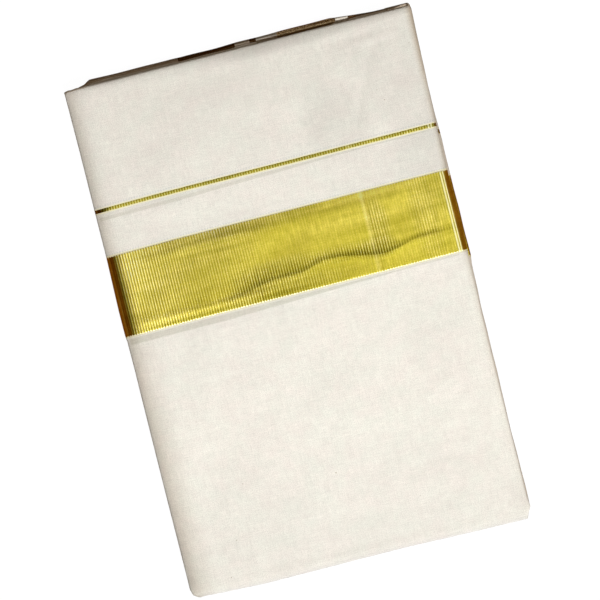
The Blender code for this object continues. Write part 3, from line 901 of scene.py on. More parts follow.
def leaf_outline(left, right, top, bottom):
    """Rounded outline of one leaf from the left end of its top edge round to that of its bottom edge."""
    quarter = np.linspace(0.0, math.pi / 2, 8)
    sine, cosine = LEAF_CORNER * np.sin(quarter), LEAF_CORNER * np.cos(quarter)
    top_run = np.arange(left, right - LEAF_CORNER, LEAF_STEP)
    bottom_run = np.arange(left + LEAF_START, right - LEAF_CORNER, LEAF_STEP)[::-1]
    side_run = np.arange(top + LEAF_CORNER, bottom - LEAF_CORNER, LEAF_STEP)[1:]
    far, high, low = right - LEAF_CORNER, top + LEAF_CORNER, bottom - LEAF_CORNER
    across = np.concatenate(
        [top_run, far + sine, np.full(side_run.size, right), far + cosine, bottom_run]
    )
    down = np.concatenate(
        [
            np.full(top_run.size, top),
            high - cosine,
            side_run,
            low + sine,
            np.full(bottom_run.size, bottom),
        ]
    )
    return across, down


def leaf_left(up):
    """Where a leaf starts at the left: inside the fold's circle below, and its flat ellipse above."""
    radius = STACK_HEIGHT / 2
    share = min(abs(up - radius) / (radius - LEAF_CLEAR), 1.0)
    reach = radius if up < radius else LEFT_REACH
    return reach * (1.0 - math.sqrt(1.0 - share**2)) + LEAF_CLEAR + 0.0004


def add_hidden_layers(finishes):
    """The edges of the many hidden layers: thin leaves, each a strip along its top, right and bottom.

    Every leaf swings a little in and out and up and down along its edge, as a sum of two sines.
    """
    rng = np.random.default_rng(7)
    bodies, widths, lengths = [], [], []
    middle_across, middle_down = PANEL_WIDTH / 2, PANEL_LENGTH / 2
    for up in np.arange(LEAF_RANGE[0], LEAF_RANGE[1], LEAF_PITCH):
        right, top, bottom = (column(LEAF_REACHES, up, i) for i in (1, 2, 3))
        right = right - rng.uniform(0.0, LEAF_SHORT[0])
        top = top + rng.uniform(0.0, LEAF_SHORT[1])
        bottom = bottom - rng.uniform(0.0, LEAF_SHORT[2])
        across, down = leaf_outline(leaf_left(up), right, top, bottom)
        run = np.arange(across.size) * LEAF_STEP
        phase = rng.uniform(0.0, 2 * math.pi, 4)
        wave = waver(run, LEAF_WAVER, phase[:2])
        toward = np.hypot(across - middle_across, down - middle_down)
        lift = waver(run, LEAF_LIFT, phase[2:])
        half = LEAF_THICK / 2
        scales = np.array(LEAF_SCALES)
        near = np.clip(1.0 - scales * toward.mean() / half, 0.0, 1.0)
        thick = half * np.maximum(np.sqrt(1.0 - near**2), 0.2)
        scale = 1.0 - scales[None, :] + (wave / toward)[:, None]
        leaf_across = middle_across + (across - middle_across)[:, None] * scale
        leaf_down = middle_down + (down - middle_down)[:, None] * scale
        heights = up + lift[:, None]
        flat = np.stack([leaf_across, leaf_down], axis=-1)
        upper = place(leaf_across, leaf_down, heights + thick)
        lower = place(leaf_across, leaf_down, heights - thick)
        bodies.append(closed_wall(upper, lower, flat))
        widths.append(developed(upper))
        lengths.append(developed(upper.transpose(1, 0, 2)))
    name = "hidden_layers"
    piece = add_piece(name, bodies, finishes["hidden"], [name])
    return {name: piece}, {name: (float(np.mean(widths)), float(np.sum(lengths)))}


# The loose cloth at the top right corner: middle and radius of its loop, going ACROSS.
CURL_LOOPS = (
    # across, middle, radius
    (0.2392, 0.0012, 0.0007),
    (0.2410, 0.0013, 0.0012),
    (0.2440, 0.0013, 0.0011),
    (0.2470, 0.0015, 0.0013),
    (0.2500, 0.0018, 0.0016),
    (0.2525, 0.0020, 0.0018),
    (0.2540, 0.0019, 0.0015),
    (0.2552, 0.0012, 0.0007),
)
# Its height, its flatness, and where it starts and ends round the loop.
CURL_UP = 0.0104
CURL_FLAT = 0.75
CURL_SWING = (-0.3, 2 * math.pi - 1.1)


def add_corner_curl(finishes):
    """A small loop of loose cloth at the top right corner: a flat ring of cloth swept along ACROSS."""
    across = np.linspace(CURL_LOOPS[0][0], CURL_LOOPS[-1][0], 26)[:, None]
    swing = np.linspace(*CURL_SWING, 25)
    middle, radius = column(CURL_LOOPS, across, 1), column(CURL_LOOPS, across, 2)
    grids = []
    for depth in (0.0, CLOTH):
        out = middle + (radius - depth) * np.cos(swing)
        up = CURL_UP + (CURL_FLAT * radius - depth) * np.sin(swing)
        grids.append(place(across, -out, up))
        if depth == 0.0:
            cloth = arc_lengths(np.broadcast_to(out, up.shape), up)
    flat = np.stack([np.broadcast_to(across, cloth.shape), cloth], axis=-1)
    body = closed_wall(grids[0], grids[1], flat)
    return add_piece("corner_curl", [body], finishes["curl"])


# Neps: tiny knots of fibre caught in the weave, ACROSS, DOWN, length and turn.
NEPS = (
    (0.2223, 0.0603, 0.0009, 0.3),
    (0.2190, 0.0520, 0.0006, 1.2),
    (0.2344, 0.0296, 0.0006, 0.7),
    (0.2496, 0.0248, 0.0006, 2.0),
    (0.0414, 0.0004, 0.0009, 0.4),
    (0.1232, 0.3122, 0.0010, 1.5),
    (0.0562, 0.3037, 0.0007, 0.2),
    (0.0421, 0.3420, 0.0008, 2.4),
    (0.0344, 0.2522, 0.0006, 0.9),
    (0.0318, 0.3670, 0.0008, 1.7),
    (0.0430, 0.0760, 0.0005, 1.1),
    (0.1450, 0.2110, 0.0005, 0.5),
    (0.2080, 0.2260, 0.0005, 2.8),
    (0.1780, 0.3430, 0.0006, 1.9),
)
# A nep's half length, half width and half height as shares of its length, and its points each way.
NEP_SHARES = (1 / 2, 1 / 3, 1 / 7)
NEP_POINTS = (6, 8)


def add_neps(finishes):
    """Flat little beads: a ball of latitude and longitude, squashed and laid on the front."""
    rows, columns = NEP_POINTS
    lengthwise = np.linspace(0.0, math.pi, rows)[:, None]
    round_it = np.linspace(0.0, 2 * math.pi, columns + 1)[None, :-1]
    bodies = []
    for across, down, length, turn in NEPS:
        a = np.cos(lengthwise) * length * NEP_SHARES[0] * np.ones_like(round_it)
        b = np.sin(lengthwise) * np.cos(round_it) * length * NEP_SHARES[1]
        c = np.sin(lengthwise) * np.sin(round_it) * length * NEP_SHARES[2]
        spot = np.array([[across]]), np.array([[down]])
        up = STACK_HEIGHT + front_relief(*spot)[0, 0]
        points = place(
            across + a * math.cos(turn) - b * math.sin(turn),
            down + a * math.sin(turn) + b * math.cos(turn),
            up + c,
        )
        points = points.reshape(-1, 3)
        grid = np.arange(rows * columns).reshape(rows, columns)
        after = np.roll(grid, -1, axis=1)
        faces = np.stack([grid[:-1], after[:-1], after[1:], grid[1:]], -1).reshape(-1, 4)
        bodies.append((points, facing_out(points, faces), points[:, :2]))
    return add_piece("cotton_neps", bodies, finishes["nep"])


# Finishes.


def new_finish(name):
    """A new material, with its nodes and its shader."""
    material = bpy.data.materials.new(name)
    material.use_nodes = True
    return material.node_tree, material.node_tree.nodes["Principled BSDF"], material


def feed(tree, socket, value):
    """Links a socket, or sets it when the value is a number or a colour."""
    if isinstance(value, bpy.types.NodeSocket):
        tree.links.new(value, socket)
    else:
        socket.default_value = value


def calc(tree, operation, *values):
    """One step of arithmetic on numbers or sockets."""
    node = tree.nodes.new("ShaderNodeMath")
    node.operation = operation
    for socket, value in zip(node.inputs, values):
        feed(tree, socket, value)
    return node.outputs[0]


def ramp(tree, value, low, high):
    """0 where the value is `low`, 1 where it is `high`, and an S curve between."""
    node = tree.nodes.new("ShaderNodeMapRange")
    node.interpolation_type = "SMOOTHSTEP"
    feed(tree, node.inputs["Value"], value)
    feed(tree, node.inputs["From Min"], low)
    feed(tree, node.inputs["From Max"], high)
    return node.outputs["Result"]


def stripe(tree, value, low, high, soft):
    """1 between two places and 0 outside them, with soft edges."""
    rise = ramp(tree, value, low - soft / 2, low + soft / 2)
    fall = ramp(tree, value, high + soft / 2, high - soft / 2)
    return calc(tree, "MULTIPLY", rise, fall)


def mix(tree, share, first, second, blend="MIX"):
    """Blend of two colours."""
    node = tree.nodes.new("ShaderNodeMix")
    node.data_type = "RGBA"
    node.blend_type = blend
    feed(tree, node.inputs[0], share)
    feed(tree, node.inputs[6], first)
    feed(tree, node.inputs[7], second)
    return node.outputs[2]


def scaled(tree, colour, value, blue=1.0):
    """A colour times a number; `blue` is the power that the number is raised to for the blue."""
    return mix(tree, 1.0, colour, grey(tree, value, blue), "MULTIPLY")


def tinted(tree, share, colour, tint):
    """A share of the way from a colour to that colour times a tint."""
    return mix(tree, share, colour, mix(tree, 1.0, colour, tint, "MULTIPLY"))


def cloth_map(tree):
    """ACROSS and DOWN along the cloth, and both as one vector."""
    uv = tree.nodes.new("ShaderNodeUVMap")
    uv.uv_map = "cloth"
    parts = tree.nodes.new("ShaderNodeSeparateXYZ")
    tree.links.new(uv.outputs[0], parts.inputs[0])
    return uv.outputs[0], parts.outputs[0], parts.outputs[1]


def noise(tree, vector, across, down, detail=2.0, roughness=0.5):
    """Noise with its own number of spots per metre each way; 0.5 on average."""
    mapping = tree.nodes.new("ShaderNodeMapping")
    mapping.inputs["Scale"].default_value = (across, down, 1.0)
    tree.links.new(vector, mapping.inputs[0])
    node = tree.nodes.new("ShaderNodeTexNoise")
    node.inputs["Scale"].default_value = 1.0
    node.inputs["Detail"].default_value = detail
    node.inputs["Roughness"].default_value = roughness
    tree.links.new(mapping.outputs[0], node.inputs["Vector"])
    return node.outputs[0]


def around(tree, value, amount):
    """A number about 1: 1 + amount * (value - 0.5)."""
    return calc(tree, "MULTIPLY_ADD", calc(tree, "SUBTRACT", value, 0.5), amount, 1.0)


def grey(tree, value, blue=1.0):
    """A grey; its blue is value**blue, so that gold turns paler as it turns lighter."""
    node = tree.nodes.new("ShaderNodeCombineColor")
    for socket in node.inputs[:2]:
        feed(tree, socket, value)
    feed(tree, node.inputs[2], value if blue == 1.0 else calc(tree, "POWER", value, blue))
    return node.outputs[0]


def stepped(tree, value, level, rows):
    """`level` and all that the rows add to it: each (start, end, change) in an S curve."""
    for start, end, change in rows:
        level = calc(tree, "MULTIPLY_ADD", ramp(tree, value, start, end), change, level)
    return level


def patch(tree, across, down, row):
    """A soft leaning patch: 1 in the middle, and 0 where (x/length)^2 + (y/width)^2 reaches 1."""
    centre_across, centre_down, half_length, half_width, lean = row[:5]
    far = calc(tree, "SUBTRACT", across, centre_across)
    side = calc(tree, "MULTIPLY_ADD", far, -lean, calc(tree, "SUBTRACT", down, centre_down))
    far = calc(tree, "POWER", calc(tree, "ABSOLUTE", calc(tree, "DIVIDE", far, half_length)), 2.0)
    side = calc(tree, "POWER", calc(tree, "ABSOLUTE", calc(tree, "DIVIDE", side, half_width)), 2.0)
    return ramp(tree, calc(tree, "ADD", far, side), 1.0, 0.0)


def patched(tree, across, down, value, rows):
    """The value times 1 + change in each patch of a table."""
    for row in rows:
        change = calc(tree, "MULTIPLY_ADD", patch(tree, across, down, row), row[5], 1.0)
        value = calc(tree, "MULTIPLY", value, change)
    return value


def bump(tree, shader, height, distance, strength=1.0):
    """Fine relief on a shader, from a height of 0 to 1 times a distance."""
    node = tree.nodes.new("ShaderNodeBump")
    node.inputs["Distance"].default_value = distance
    node.inputs["Strength"].default_value = strength
    tree.links.new(height, node.inputs["Height"])
    tree.links.new(node.outputs[0], shader.inputs["Normal"])


# Width of a thread of the weave, how soft a woven edge is, and where the right fold starts.
THREAD = 0.00037
WOVEN_SOFT = 0.0004
FRONT_RIGHT = 0.2545
# Pitch of the metal yarn's turns, and where the painted highlight on the ribs at the right fold starts and
# ends.
YARN_PITCH = 0.00046
RIB_HIGHLIGHT_SPAN = (0.2474, 0.2516)

# Cotton: its mean, its warm and cool mottles, its painted shade at the folds and along the edges, what the
# borders below make of it, and the threads beside the borders.
COTTON = (0.803, 0.797, 0.750, 1.0)
COTTON_WARM = (0.818, 0.778, 0.740, 1.0)
COTTON_COOL = (0.785, 0.811, 0.752, 1.0)
SHADED_COTTON_AT_FOLDS = (0.540, 0.435, 0.320, 1.0)
FOLD_SHADE = (0.420, 0.360, 0.280, 1.0)
EDGE_SHADE = (0.620, 0.540, 0.460, 1.0)
BOTTOM_SHADE = (0.820, 0.820, 0.840, 1.0)
SHADE_THROUGH = (0.800, 0.800, 0.760, 1.0)
CREAM = (0.850, 0.830, 0.580, 1.0)
LOW_CREAM = (0.755, 0.740, 0.560, 1.0)
TICK = (0.520, 0.560, 0.560, 1.0)
NEP = (0.330, 0.270, 0.190, 1.0)
# Zari: its mean, its painted crest highlights and valley shade, its painted dark reflection at the left
# fold, on the thin line, and its painted shade and old gold on the inner folds.
GOLD = (0.755, 0.655, 0.078, 1.0)
GOLD_LIGHT = (0.960, 0.930, 0.470, 1.0)
GOLD_DEEP = (0.370, 0.290, 0.016, 1.0)
SHADED_FOLD_GOLD = (0.230, 0.118, 0.026, 1.0)
GOLD_LINE = (0.720, 0.735, 0.830, 1.0)
SHADED_ZARI = (0.075, 0.036, 0.010, 1.0)
OLD_GOLD = (0.820, 0.630, 0.360, 1.0)

# Patches of painted shade and painted highlight on the wide band, where the gold is darker or lighter than
# elsewhere.
GOLD_PATCHES = (
    # across, down,   half-length, half-width, lean,  change
    (0.1350, 0.1765, 0.0550, 0.0060, 0.000, -0.16),
    (0.1200, 0.1795, 0.0320, 0.0050, 0.000, -0.14),
    (0.1550, 0.1222, 0.1150, 0.0062, 0.000, 0.20),
    (0.1500, 0.1228, 0.0900, 0.0050, 0.000, 0.08),
    (0.2080, 0.1285, 0.0160, 0.0040, 0.000, -0.08),
    (0.0300, 0.1500, 0.0200, 0.0040, 0.020, 0.12),
    (0.0080, 0.1585, 0.0120, 0.0060, 0.000, 0.08),
    (0.1050, 0.1310, 0.0350, 0.0040, 0.000, -0.08),
    (0.1450, 0.1700, 0.0500, 0.0050, 0.000, -0.08),
    (0.0650, 0.1410, 0.0300, 0.0060, 0.000, 0.08),
    (0.2350, 0.1350, 0.0200, 0.0110, 0.000, 0.13),
    (0.1800, 0.1672, 0.0280, 0.0032, 0.170, -0.17),
    (0.2080, 0.1222, 0.0450, 0.0060, 0.000, 0.14),
    (0.1950, 0.1262, 0.0450, 0.0036, 0.000, 0.15),
    (0.0700, 0.1222, 0.0300, 0.0060, 0.000, 0.14),
    (0.1440, 0.1240, 0.0200, 0.0055, 0.000, -0.16),
    (0.1500, 0.1415, 0.1300, 0.0055, 0.000, 0.09),
    (0.1950, 0.1485, 0.0350, 0.0035, 0.000, -0.08),
    (0.1250, 0.1745, 0.0450, 0.0030, 0.000, 0.08),
    (0.1570, 0.1640, 0.0250, 0.0060, 0.000, -0.09),
    (0.0160, 0.1300, 0.0150, 0.0240, 0.000, 0.24),
    (0.0550, 0.1210, 0.0500, 0.0110, 0.050, 0.26),
    (0.0200, 0.1480, 0.0420, 0.0900, 0.000, 0.20),
    (0.0060, 0.1480, 0.0120, 0.0900, 0.000, 0.16),
    (0.1900, 0.1360, 0.0500, 0.0120, -0.050, 0.10),
    (0.0780, 0.1318, 0.0420, 0.0050, 0.000, 0.20),
    (0.2250, 0.1420, 0.0300, 0.0100, 0.000, 0.06),
    (0.2380, 0.1540, 0.0220, 0.0080, 0.000, 0.18),
    (0.0350, 0.1685, 0.0450, 0.0040, 0.000, -0.10),
    (0.0500, 0.1792, 0.0400, 0.0012, 0.000, -0.22),
    (0.1120, 0.1780, 0.0140, 0.0030, 0.000, -0.14),
    (0.0450, 0.1757, 0.0520, 0.0026, 0.012, 0.16),
    (0.2310, 0.1500, 0.0060, 0.0600, 0.000, 0.08),
    (0.1970, 0.1460, 0.0090, 0.0160, 0.000, 0.10),
)
# Places where the ribs' painted highlights and shade stand out more, by the crumple and at the right.
RIB_PATCHES = (
    # across, down,   half-length, half-width, lean,  change
    (0.1150, 0.1235, 0.0560, 0.0110, 0.000, 0.36),
    (0.1200, 0.1620, 0.0450, 0.0110, -0.030, 0.62),
    (0.1650, 0.1615, 0.0300, 0.0080, 0.000, 0.50),
    (0.1920, 0.1635, 0.0200, 0.0100, 0.050, 0.72),
    (0.1200, 0.1745, 0.0600, 0.0100, 0.000, 0.60),
    (0.1970, 0.1460, 0.0095, 0.0200, 0.000, 0.62),
    (0.2310, 0.1450, 0.0130, 0.0550, 0.000, 0.36),
    (0.2460, 0.1350, 0.0070, 0.0250, 0.000, 0.25),
)
# Values that change by steps ACROSS: the first one, then start, end and change of each step.  How strongly
# the ribs' painted crest highlights and valley shade show, less from the left towards the middle:
PAINTED_RIB_CONTRAST = (0.86, ((0.030, 0.070, -0.26), (0.085, 0.125, -0.46)))
# The crumple's shade above its crest: the crest's DOWN, how far up the shade reaches, and its depth.
CRUMPLE_LEVEL = (
    0.1712,
    (
        (0.092, 0.114, -0.0042),
        (0.132, 0.155, -0.0045),
        (0.158, 0.196, 0.0058),
        (0.198, 0.226, -0.0051),
        (0.230, 0.255, 0.0008),
    ),
)
CRUMPLE_REACH = (0.0135, ((0.135, 0.150, -0.0080), (0.155, 0.175, 0.0040), (0.198, 0.215, -0.0045)))
CRUMPLE_DEPTH = (
    0.0,
    (
        (0.070, 0.100, 0.26),
        (0.140, 0.150, -0.06),
        (0.152, 0.166, 0.12),
        (0.198, 0.215, -0.08),
        (0.215, 0.245, -0.12),
    ),
)


def plain_weave(tree, across, down):
    """Over and under of a plain weave: the product of two sines, one half wave a thread."""
    along = calc(tree, "SINE", calc(tree, "MULTIPLY", across, math.pi / THREAD))
    over = calc(tree, "SINE", calc(tree, "MULTIPLY", down, math.pi / THREAD))
    return calc(tree, "MULTIPLY", along, over)


# Uneven threads and mottles of the cotton: spots per metre ACROSS and DOWN, detail and strength.
COTTON_NOISES = (
    (120.0, 1700.0, 3.0, 0.30),
    (1700.0, 120.0, 3.0, 0.30),
    (300.0, 18.0, 2.0, 0.09),
    (16.0, 300.0, 2.0, 0.07),
    (1800.0, 1800.0, 2.0, 0.94),
    (260.0, 260.0, 3.0, 0.10),
    (75.0, 75.0, 3.0, 0.09),
    (22.0, 22.0, 2.0, 0.11),
)
# The stronger ones are rough to the touch as well.
ROUGH_NOISE = 0.15
# Painted light and shade: how the cotton lightens and darkens from the top to the bottom, and how much less
# painted shade the right fold gets further down: the first value, then start, end and change of each step.
COTTON_TONES = (
    0.985,
    (
        (0.050, 0.100, 0.035),
        (0.185, 0.210, 0.020),
        (0.280, 0.330, -0.045),
        (0.330, 0.360, -0.050),
        (0.362, 0.370, 0.026),
    ),
)
RIGHT_PAINTED_SHADE = (1.0, ((0.040, 0.065, -0.27), (0.110, 0.210, -0.25), (0.220, 0.370, -0.33)))
# Soft patches where the cotton is a little darker or lighter; the darker ones by the creases and along the
# top and right edges are painted shade.
COTTON_PATCHES = (
    # across, down,   half-length, half-width, lean,  change
    (0.1850, 0.0700, 0.0300, 0.0400, 0.30, -0.07),
    (0.1500, 0.0030, 0.0700, 0.0090, 0.00, -0.07),
    (0.2350, 0.0250, 0.0400, 0.0300, 0.00, -0.05),
    (0.2480, 0.1050, 0.0500, 0.0300, 0.00, -0.10),
    (0.2500, 0.0700, 0.0450, 0.0400, 0.00, -0.07),
    (0.0900, 0.1050, 0.0800, 0.0120, 0.00, 0.03),
    (0.1150, 0.0010, 0.1500, 0.0090, 0.00, -0.080),
    (0.0450, 0.0940, 0.0360, 0.0070, 0.00, -0.045),
    (0.2150, 0.1180, 0.0500, 0.0070, 0.00, -0.035),
    (0.0700, 0.1870, 0.0550, 0.0070, 0.00, -0.050),
    (0.2300, 0.2450, 0.0500, 0.0500, 0.00, -0.035),
)
# The borders of the layer below that show through: straight until this place ACROSS, how far below the
# border they reach there, how fast their far edge rises past it, and the least that it reaches.
LINE_THROUGH = (0.055, 0.0073, 0.0262, 0.0034)
BAND_THROUGH = (0.075, 0.0060, 0.0285, 0.0022)


def cotton_look(tree, vector, across, down):
    """Colour and height of plain cotton: the weave, uneven threads both ways and soft mottles."""
    weave = plain_weave(tree, across, down)
    tint = noise(tree, vector, 90.0, 90.0, 2.0)
    colour = mix(tree, ramp(tree, tint, 0.30, 0.70), COTTON_WARM, COTTON_COOL)
    slow = noise(tree, vector, 20.0, 26.0, 2.0)
    slow = mix(tree, ramp(tree, slow, 0.38, 0.62), COTTON_WARM, COTTON_COOL)
    colour = mix(tree, 0.68, colour, mix(tree, 0.34, COTTON, slow))
    value = calc(tree, "MULTIPLY_ADD", weave, 0.03, 1.0)
    threads = calc(tree, "MULTIPLY", weave, 0.5)
    for scale_across, scale_down, detail, strength in COTTON_NOISES:
        part = noise(tree, vector, scale_across, scale_down, detail, 0.62)
        value = calc(tree, "MULTIPLY", value, around(tree, part, strength))
        if strength > ROUGH_NOISE:
            threads = calc(tree, "ADD", threads, part)
    return scaled(tree, colour, value), threads


def rib_crest(tree, across):
    """1 on the crest of a rib and 0 in the valley: the square of a sine of half the pitch."""
    wave = calc(tree, "SINE", calc(tree, "MULTIPLY", across, math.pi / RIB_PITCH))
    return calc(tree, "MULTIPLY", wave, wave)


def falling_edge(tree, across, flat_until, reach, slope, least):
    """A border's far edge: `reach` until `flat_until` ACROSS, then nearer by `slope`, down to `least`."""
    past = calc(tree, "MAXIMUM", calc(tree, "SUBTRACT", across, flat_until), 0.0)
    return calc(tree, "MAXIMUM", calc(tree, "MULTIPLY_ADD", past, -slope, reach), least)


def shown_through(tree, across, down):
    """Where the borders of the layer below show under each border, slanting up to the right."""
    from_line = calc(tree, "SUBTRACT", down, (LINE[0] + LINE[1]) / 2)
    far = falling_edge(tree, across, *LINE_THROUGH)
    near = calc(tree, "MAXIMUM", calc(tree, "SUBTRACT", far, 0.0025), 0.0026)
    inside = ramp(tree, calc(tree, "SUBTRACT", far, from_line), -WOVEN_SOFT, WOVEN_SOFT)
    deep = ramp(tree, calc(tree, "SUBTRACT", from_line, near), -WOVEN_SOFT, WOVEN_SOFT)
    below_line = calc(tree, "MULTIPLY", inside, ramp(tree, from_line, 0.0022, 0.0028))
    below_line = calc(tree, "MULTIPLY", below_line, calc(tree, "MULTIPLY_ADD", deep, 0.45, 0.30))
    from_band = calc(tree, "SUBTRACT", down, BAND[1])
    far = falling_edge(tree, across, *BAND_THROUGH)
    inside = ramp(tree, calc(tree, "SUBTRACT", far, from_band), -0.0006, 0.0006)
    below_band = calc(tree, "MULTIPLY", inside, ramp(tree, from_band, 0.0008, 0.0020))
    through = calc(tree, "MAXIMUM", below_line, calc(tree, "MULTIPLY", below_band, 0.95))
    on_front = calc(tree, "MULTIPLY", ramp(tree, across, 0.0, 0.003), ramp(tree, across, 0.25, 0.245))
    return calc(tree, "MULTIPLY", through, on_front)


def beside_borders(tree, across, down, colour):
    """Ticks where the rib threads float on the back, and the pale selvedge threads at each border."""
    above_band = stripe(tree, down, BAND[0] - 0.0021, BAND[0] - 0.0008, 0.0005)
    above_line = stripe(tree, down, LINE[0] - 0.0026, LINE[0] - 0.0012, 0.0005)
    ticks = calc(tree, "MAXIMUM", above_band, above_line)
    ticks = calc(tree, "MULTIPLY", ticks, rib_crest(tree, across))
    colour = mix(tree, calc(tree, "MULTIPLY", ticks, 0.42), colour, TICK)
    above = stripe(tree, down, BAND[0] - 0.0009, BAND[0] + 0.0010, WOVEN_SOFT)
    below = stripe(tree, down, BAND[1] - 0.0010, BAND[1] + 0.0009, WOVEN_SOFT)
    line = stripe(tree, down, LINE[0] - 0.0008, LINE[1] + 0.0009, 0.0003)
    pale = calc(tree, "MAXIMUM", calc(tree, "MAXIMUM", above, below), line)
    cream = mix(tree, ramp(tree, down, BAND[1] - 0.004, BAND[1] - 0.002), CREAM, LOW_CREAM)
    return mix(tree, calc(tree, "MULTIPLY", pale, 0.9), colour, cream)


def painted_shade_left(tree, across, down):
    """How much painted shade the left fold gets: near it, less so further down, and in a wider band further
    down.
    """
    near = calc(tree, "MULTIPLY_ADD", ramp(tree, down, 0.10, 0.32), -0.21, 0.33)
    near = calc(tree, "MULTIPLY", near, ramp(tree, across, 0.013, 0.0))
    wide = calc(tree, "MULTIPLY", ramp(tree, down, 0.02, 0.33), 0.32)
    wide = calc(tree, "MULTIPLY", wide, ramp(tree, across, 0.026, 0.004))
    round_fold = calc(tree, "MULTIPLY_ADD", ramp(tree, across, -0.0005, 0.0030), 0.9, 0.1)
    return calc(tree, "MULTIPLY", round_fold, calc(tree, "ADD", near, wide))


def painted_shade_right(tree, across, down):
    """How much painted shade the right fold gets, by how far a point lies from its slanting line, and how
    far down.
    """
    fold = calc(tree, "MULTIPLY_ADD", down, -0.0125, FRONT_RIGHT + 0.0020)
    right = ramp(tree, calc(tree, "SUBTRACT", across, fold), -0.0062, 0.0008)
    return calc(tree, "MULTIPLY", right, stepped(tree, down, *RIGHT_PAINTED_SHADE))


def cotton_finish():
    """Plain cotton of the outer wrap and the second fold, with what the borders leave on it."""
    tree, shader, material = new_finish("off_white_cotton")
    vector, across, down = cloth_map(tree)
    colour, threads = cotton_look(tree, vector, across, down)
    # Painted light and shade: the steps of the cotton's tone from the top to the bottom.
    tone = stepped(tree, down, *COTTON_TONES)
    # Painted shade in the darker patches by the creases and along the top and right edges.
    colour = scaled(tree, colour, patched(tree, across, down, tone, COTTON_PATCHES))
    colour = tinted(tree, shown_through(tree, across, down), colour, SHADE_THROUGH)
    colour = beside_borders(tree, across, down, colour)
    # Painted shade on the edges: a warm shade along both folds and under the right turn, twice at the top
    # left corner, and a grey one along the bottom edge.
    folds = calc(tree, "ADD", painted_shade_left(tree, across, down), painted_shade_right(tree, across, down))
    under_right = calc(tree, "MULTIPLY", ramp(tree, across, 0.2585, 0.2600), 0.85)
    edge = calc(tree, "MINIMUM", calc(tree, "MAXIMUM", folds, under_right), 1.0)
    corner = calc(tree, "MULTIPLY", ramp(tree, down, 0.0011, -0.0001), ramp(tree, across, 0.020, 0.010))
    colour = tinted(tree, calc(tree, "MAXIMUM", edge, corner), colour, EDGE_SHADE)
    colour = tinted(tree, calc(tree, "MULTIPLY", corner, 0.5), colour, EDGE_SHADE)
    colour = tinted(tree, ramp(tree, down, 0.3722, 0.3766), colour, BOTTOM_SHADE)
    tree.links.new(colour, shader.inputs["Base Color"])
    shader.inputs["Roughness"].default_value = 0.88
    shader.inputs["Specular IOR Level"].default_value = 0.18
    shader.inputs["Sheen Weight"].default_value = 0.06
    shader.inputs["Sheen Roughness"].default_value = 0.45
    bump(tree, shader, threads, 0.00006, 0.8)
    return material


def past_top(tree):
    """How far out past the packet's top edge a point lies, from the piece's own Object coordinates."""
    parts = tree.nodes.new("ShaderNodeSeparateXYZ")
    tree.links.new(tree.nodes.new("ShaderNodeTexCoord").outputs["Object"], parts.inputs[0])
    return calc(tree, "SUBTRACT", parts.outputs[1], DOWN_CENTRE)


def fold_cotton_finish(name, tip_shade_share, shade_share):
    """Cotton of the folds at the top edge, mixed towards a painted shade colour, with more painted shade
    where they stick out.
    """
    tree, shader, material = new_finish(name)
    vector, across, along = cloth_map(tree)
    colour, threads = cotton_look(tree, vector, across, along)
    colour = mix(tree, shade_share, colour, SHADED_COTTON_AT_FOLDS)
    # Painted light and shade: a few stretches are painted lighter, and two of them darker further in.
    spans = {stretch: (start, end) for stretch, start, end, _ in LOWER_INNER_STRETCHES}
    out = past_top(tree)
    outer = ramp(tree, out, 0.0032, 0.0040)
    inner = calc(tree, "MULTIPLY_ADD", outer, -1.0, 1.0)
    painted_light = stripe(tree, along, *spans["lower_inner_gap_left"], WOVEN_SOFT)
    painted_light, dark = calc(tree, "MULTIPLY", painted_light, 0.35), 0.0
    for stretch in ("lower_inner_plain_middle", "lower_inner_gap_right"):
        here = stripe(tree, along, *spans[stretch], WOVEN_SOFT)
        painted_light = calc(tree, "MAXIMUM", painted_light, calc(tree, "MULTIPLY", here, outer))
        dark = calc(tree, "MAXIMUM", dark, calc(tree, "MULTIPLY", here, inner))
    colour = mix(tree, calc(tree, "MULTIPLY", painted_light, 0.80), colour, COTTON)
    dark = calc(tree, "MULTIPLY", dark, 0.6)
    # Painted shade at the tips that stick out furthest, and further out on the lower fold's stretches at
    # the right.
    tip = calc(tree, "MULTIPLY", ramp(tree, out, 0.0030, 0.0056), tip_shade_share)
    at_right = calc(tree, "MULTIPLY", ramp(tree, along, 0.214, 0.219), ramp(tree, out, 0.0026, 0.0034))
    dark = calc(tree, "MAXIMUM", calc(tree, "MAXIMUM", dark, tip), at_right)
    colour = tinted(tree, dark, colour, FOLD_SHADE)
    streak = noise(tree, vector, 900.0, 60.0, 3.0)
    colour = scaled(tree, colour, around(tree, streak, 0.45))
    tree.links.new(colour, shader.inputs["Base Color"])
    shader.inputs["Roughness"].default_value = 0.92
    shader.inputs["Specular IOR Level"].default_value = 0.15
    bump(tree, shader, threads, 0.00006, 0.8)
    return material


def painted_rib_contrast(tree, across, down, on_line):
    """How strongly the ribs' painted highlights and valley shade show: by the steps and patches on the
    front, and in full on the line.
    """
    shown = stepped(tree, across, *PAINTED_RIB_CONTRAST)
    for row in RIB_PATCHES:
        more = calc(tree, "MULTIPLY_ADD", patch(tree, across, down, row), row[5], shown)
        shown = calc(tree, "MINIMUM", more, 1.0)
    on_front = calc(tree, "MULTIPLY", ramp(tree, across, 0.003, 0.007), ramp(tree, across, 0.252, 0.250))
    return calc(tree, "MAXIMUM", calc(tree, "MULTIPLY", shown, on_front), on_line)


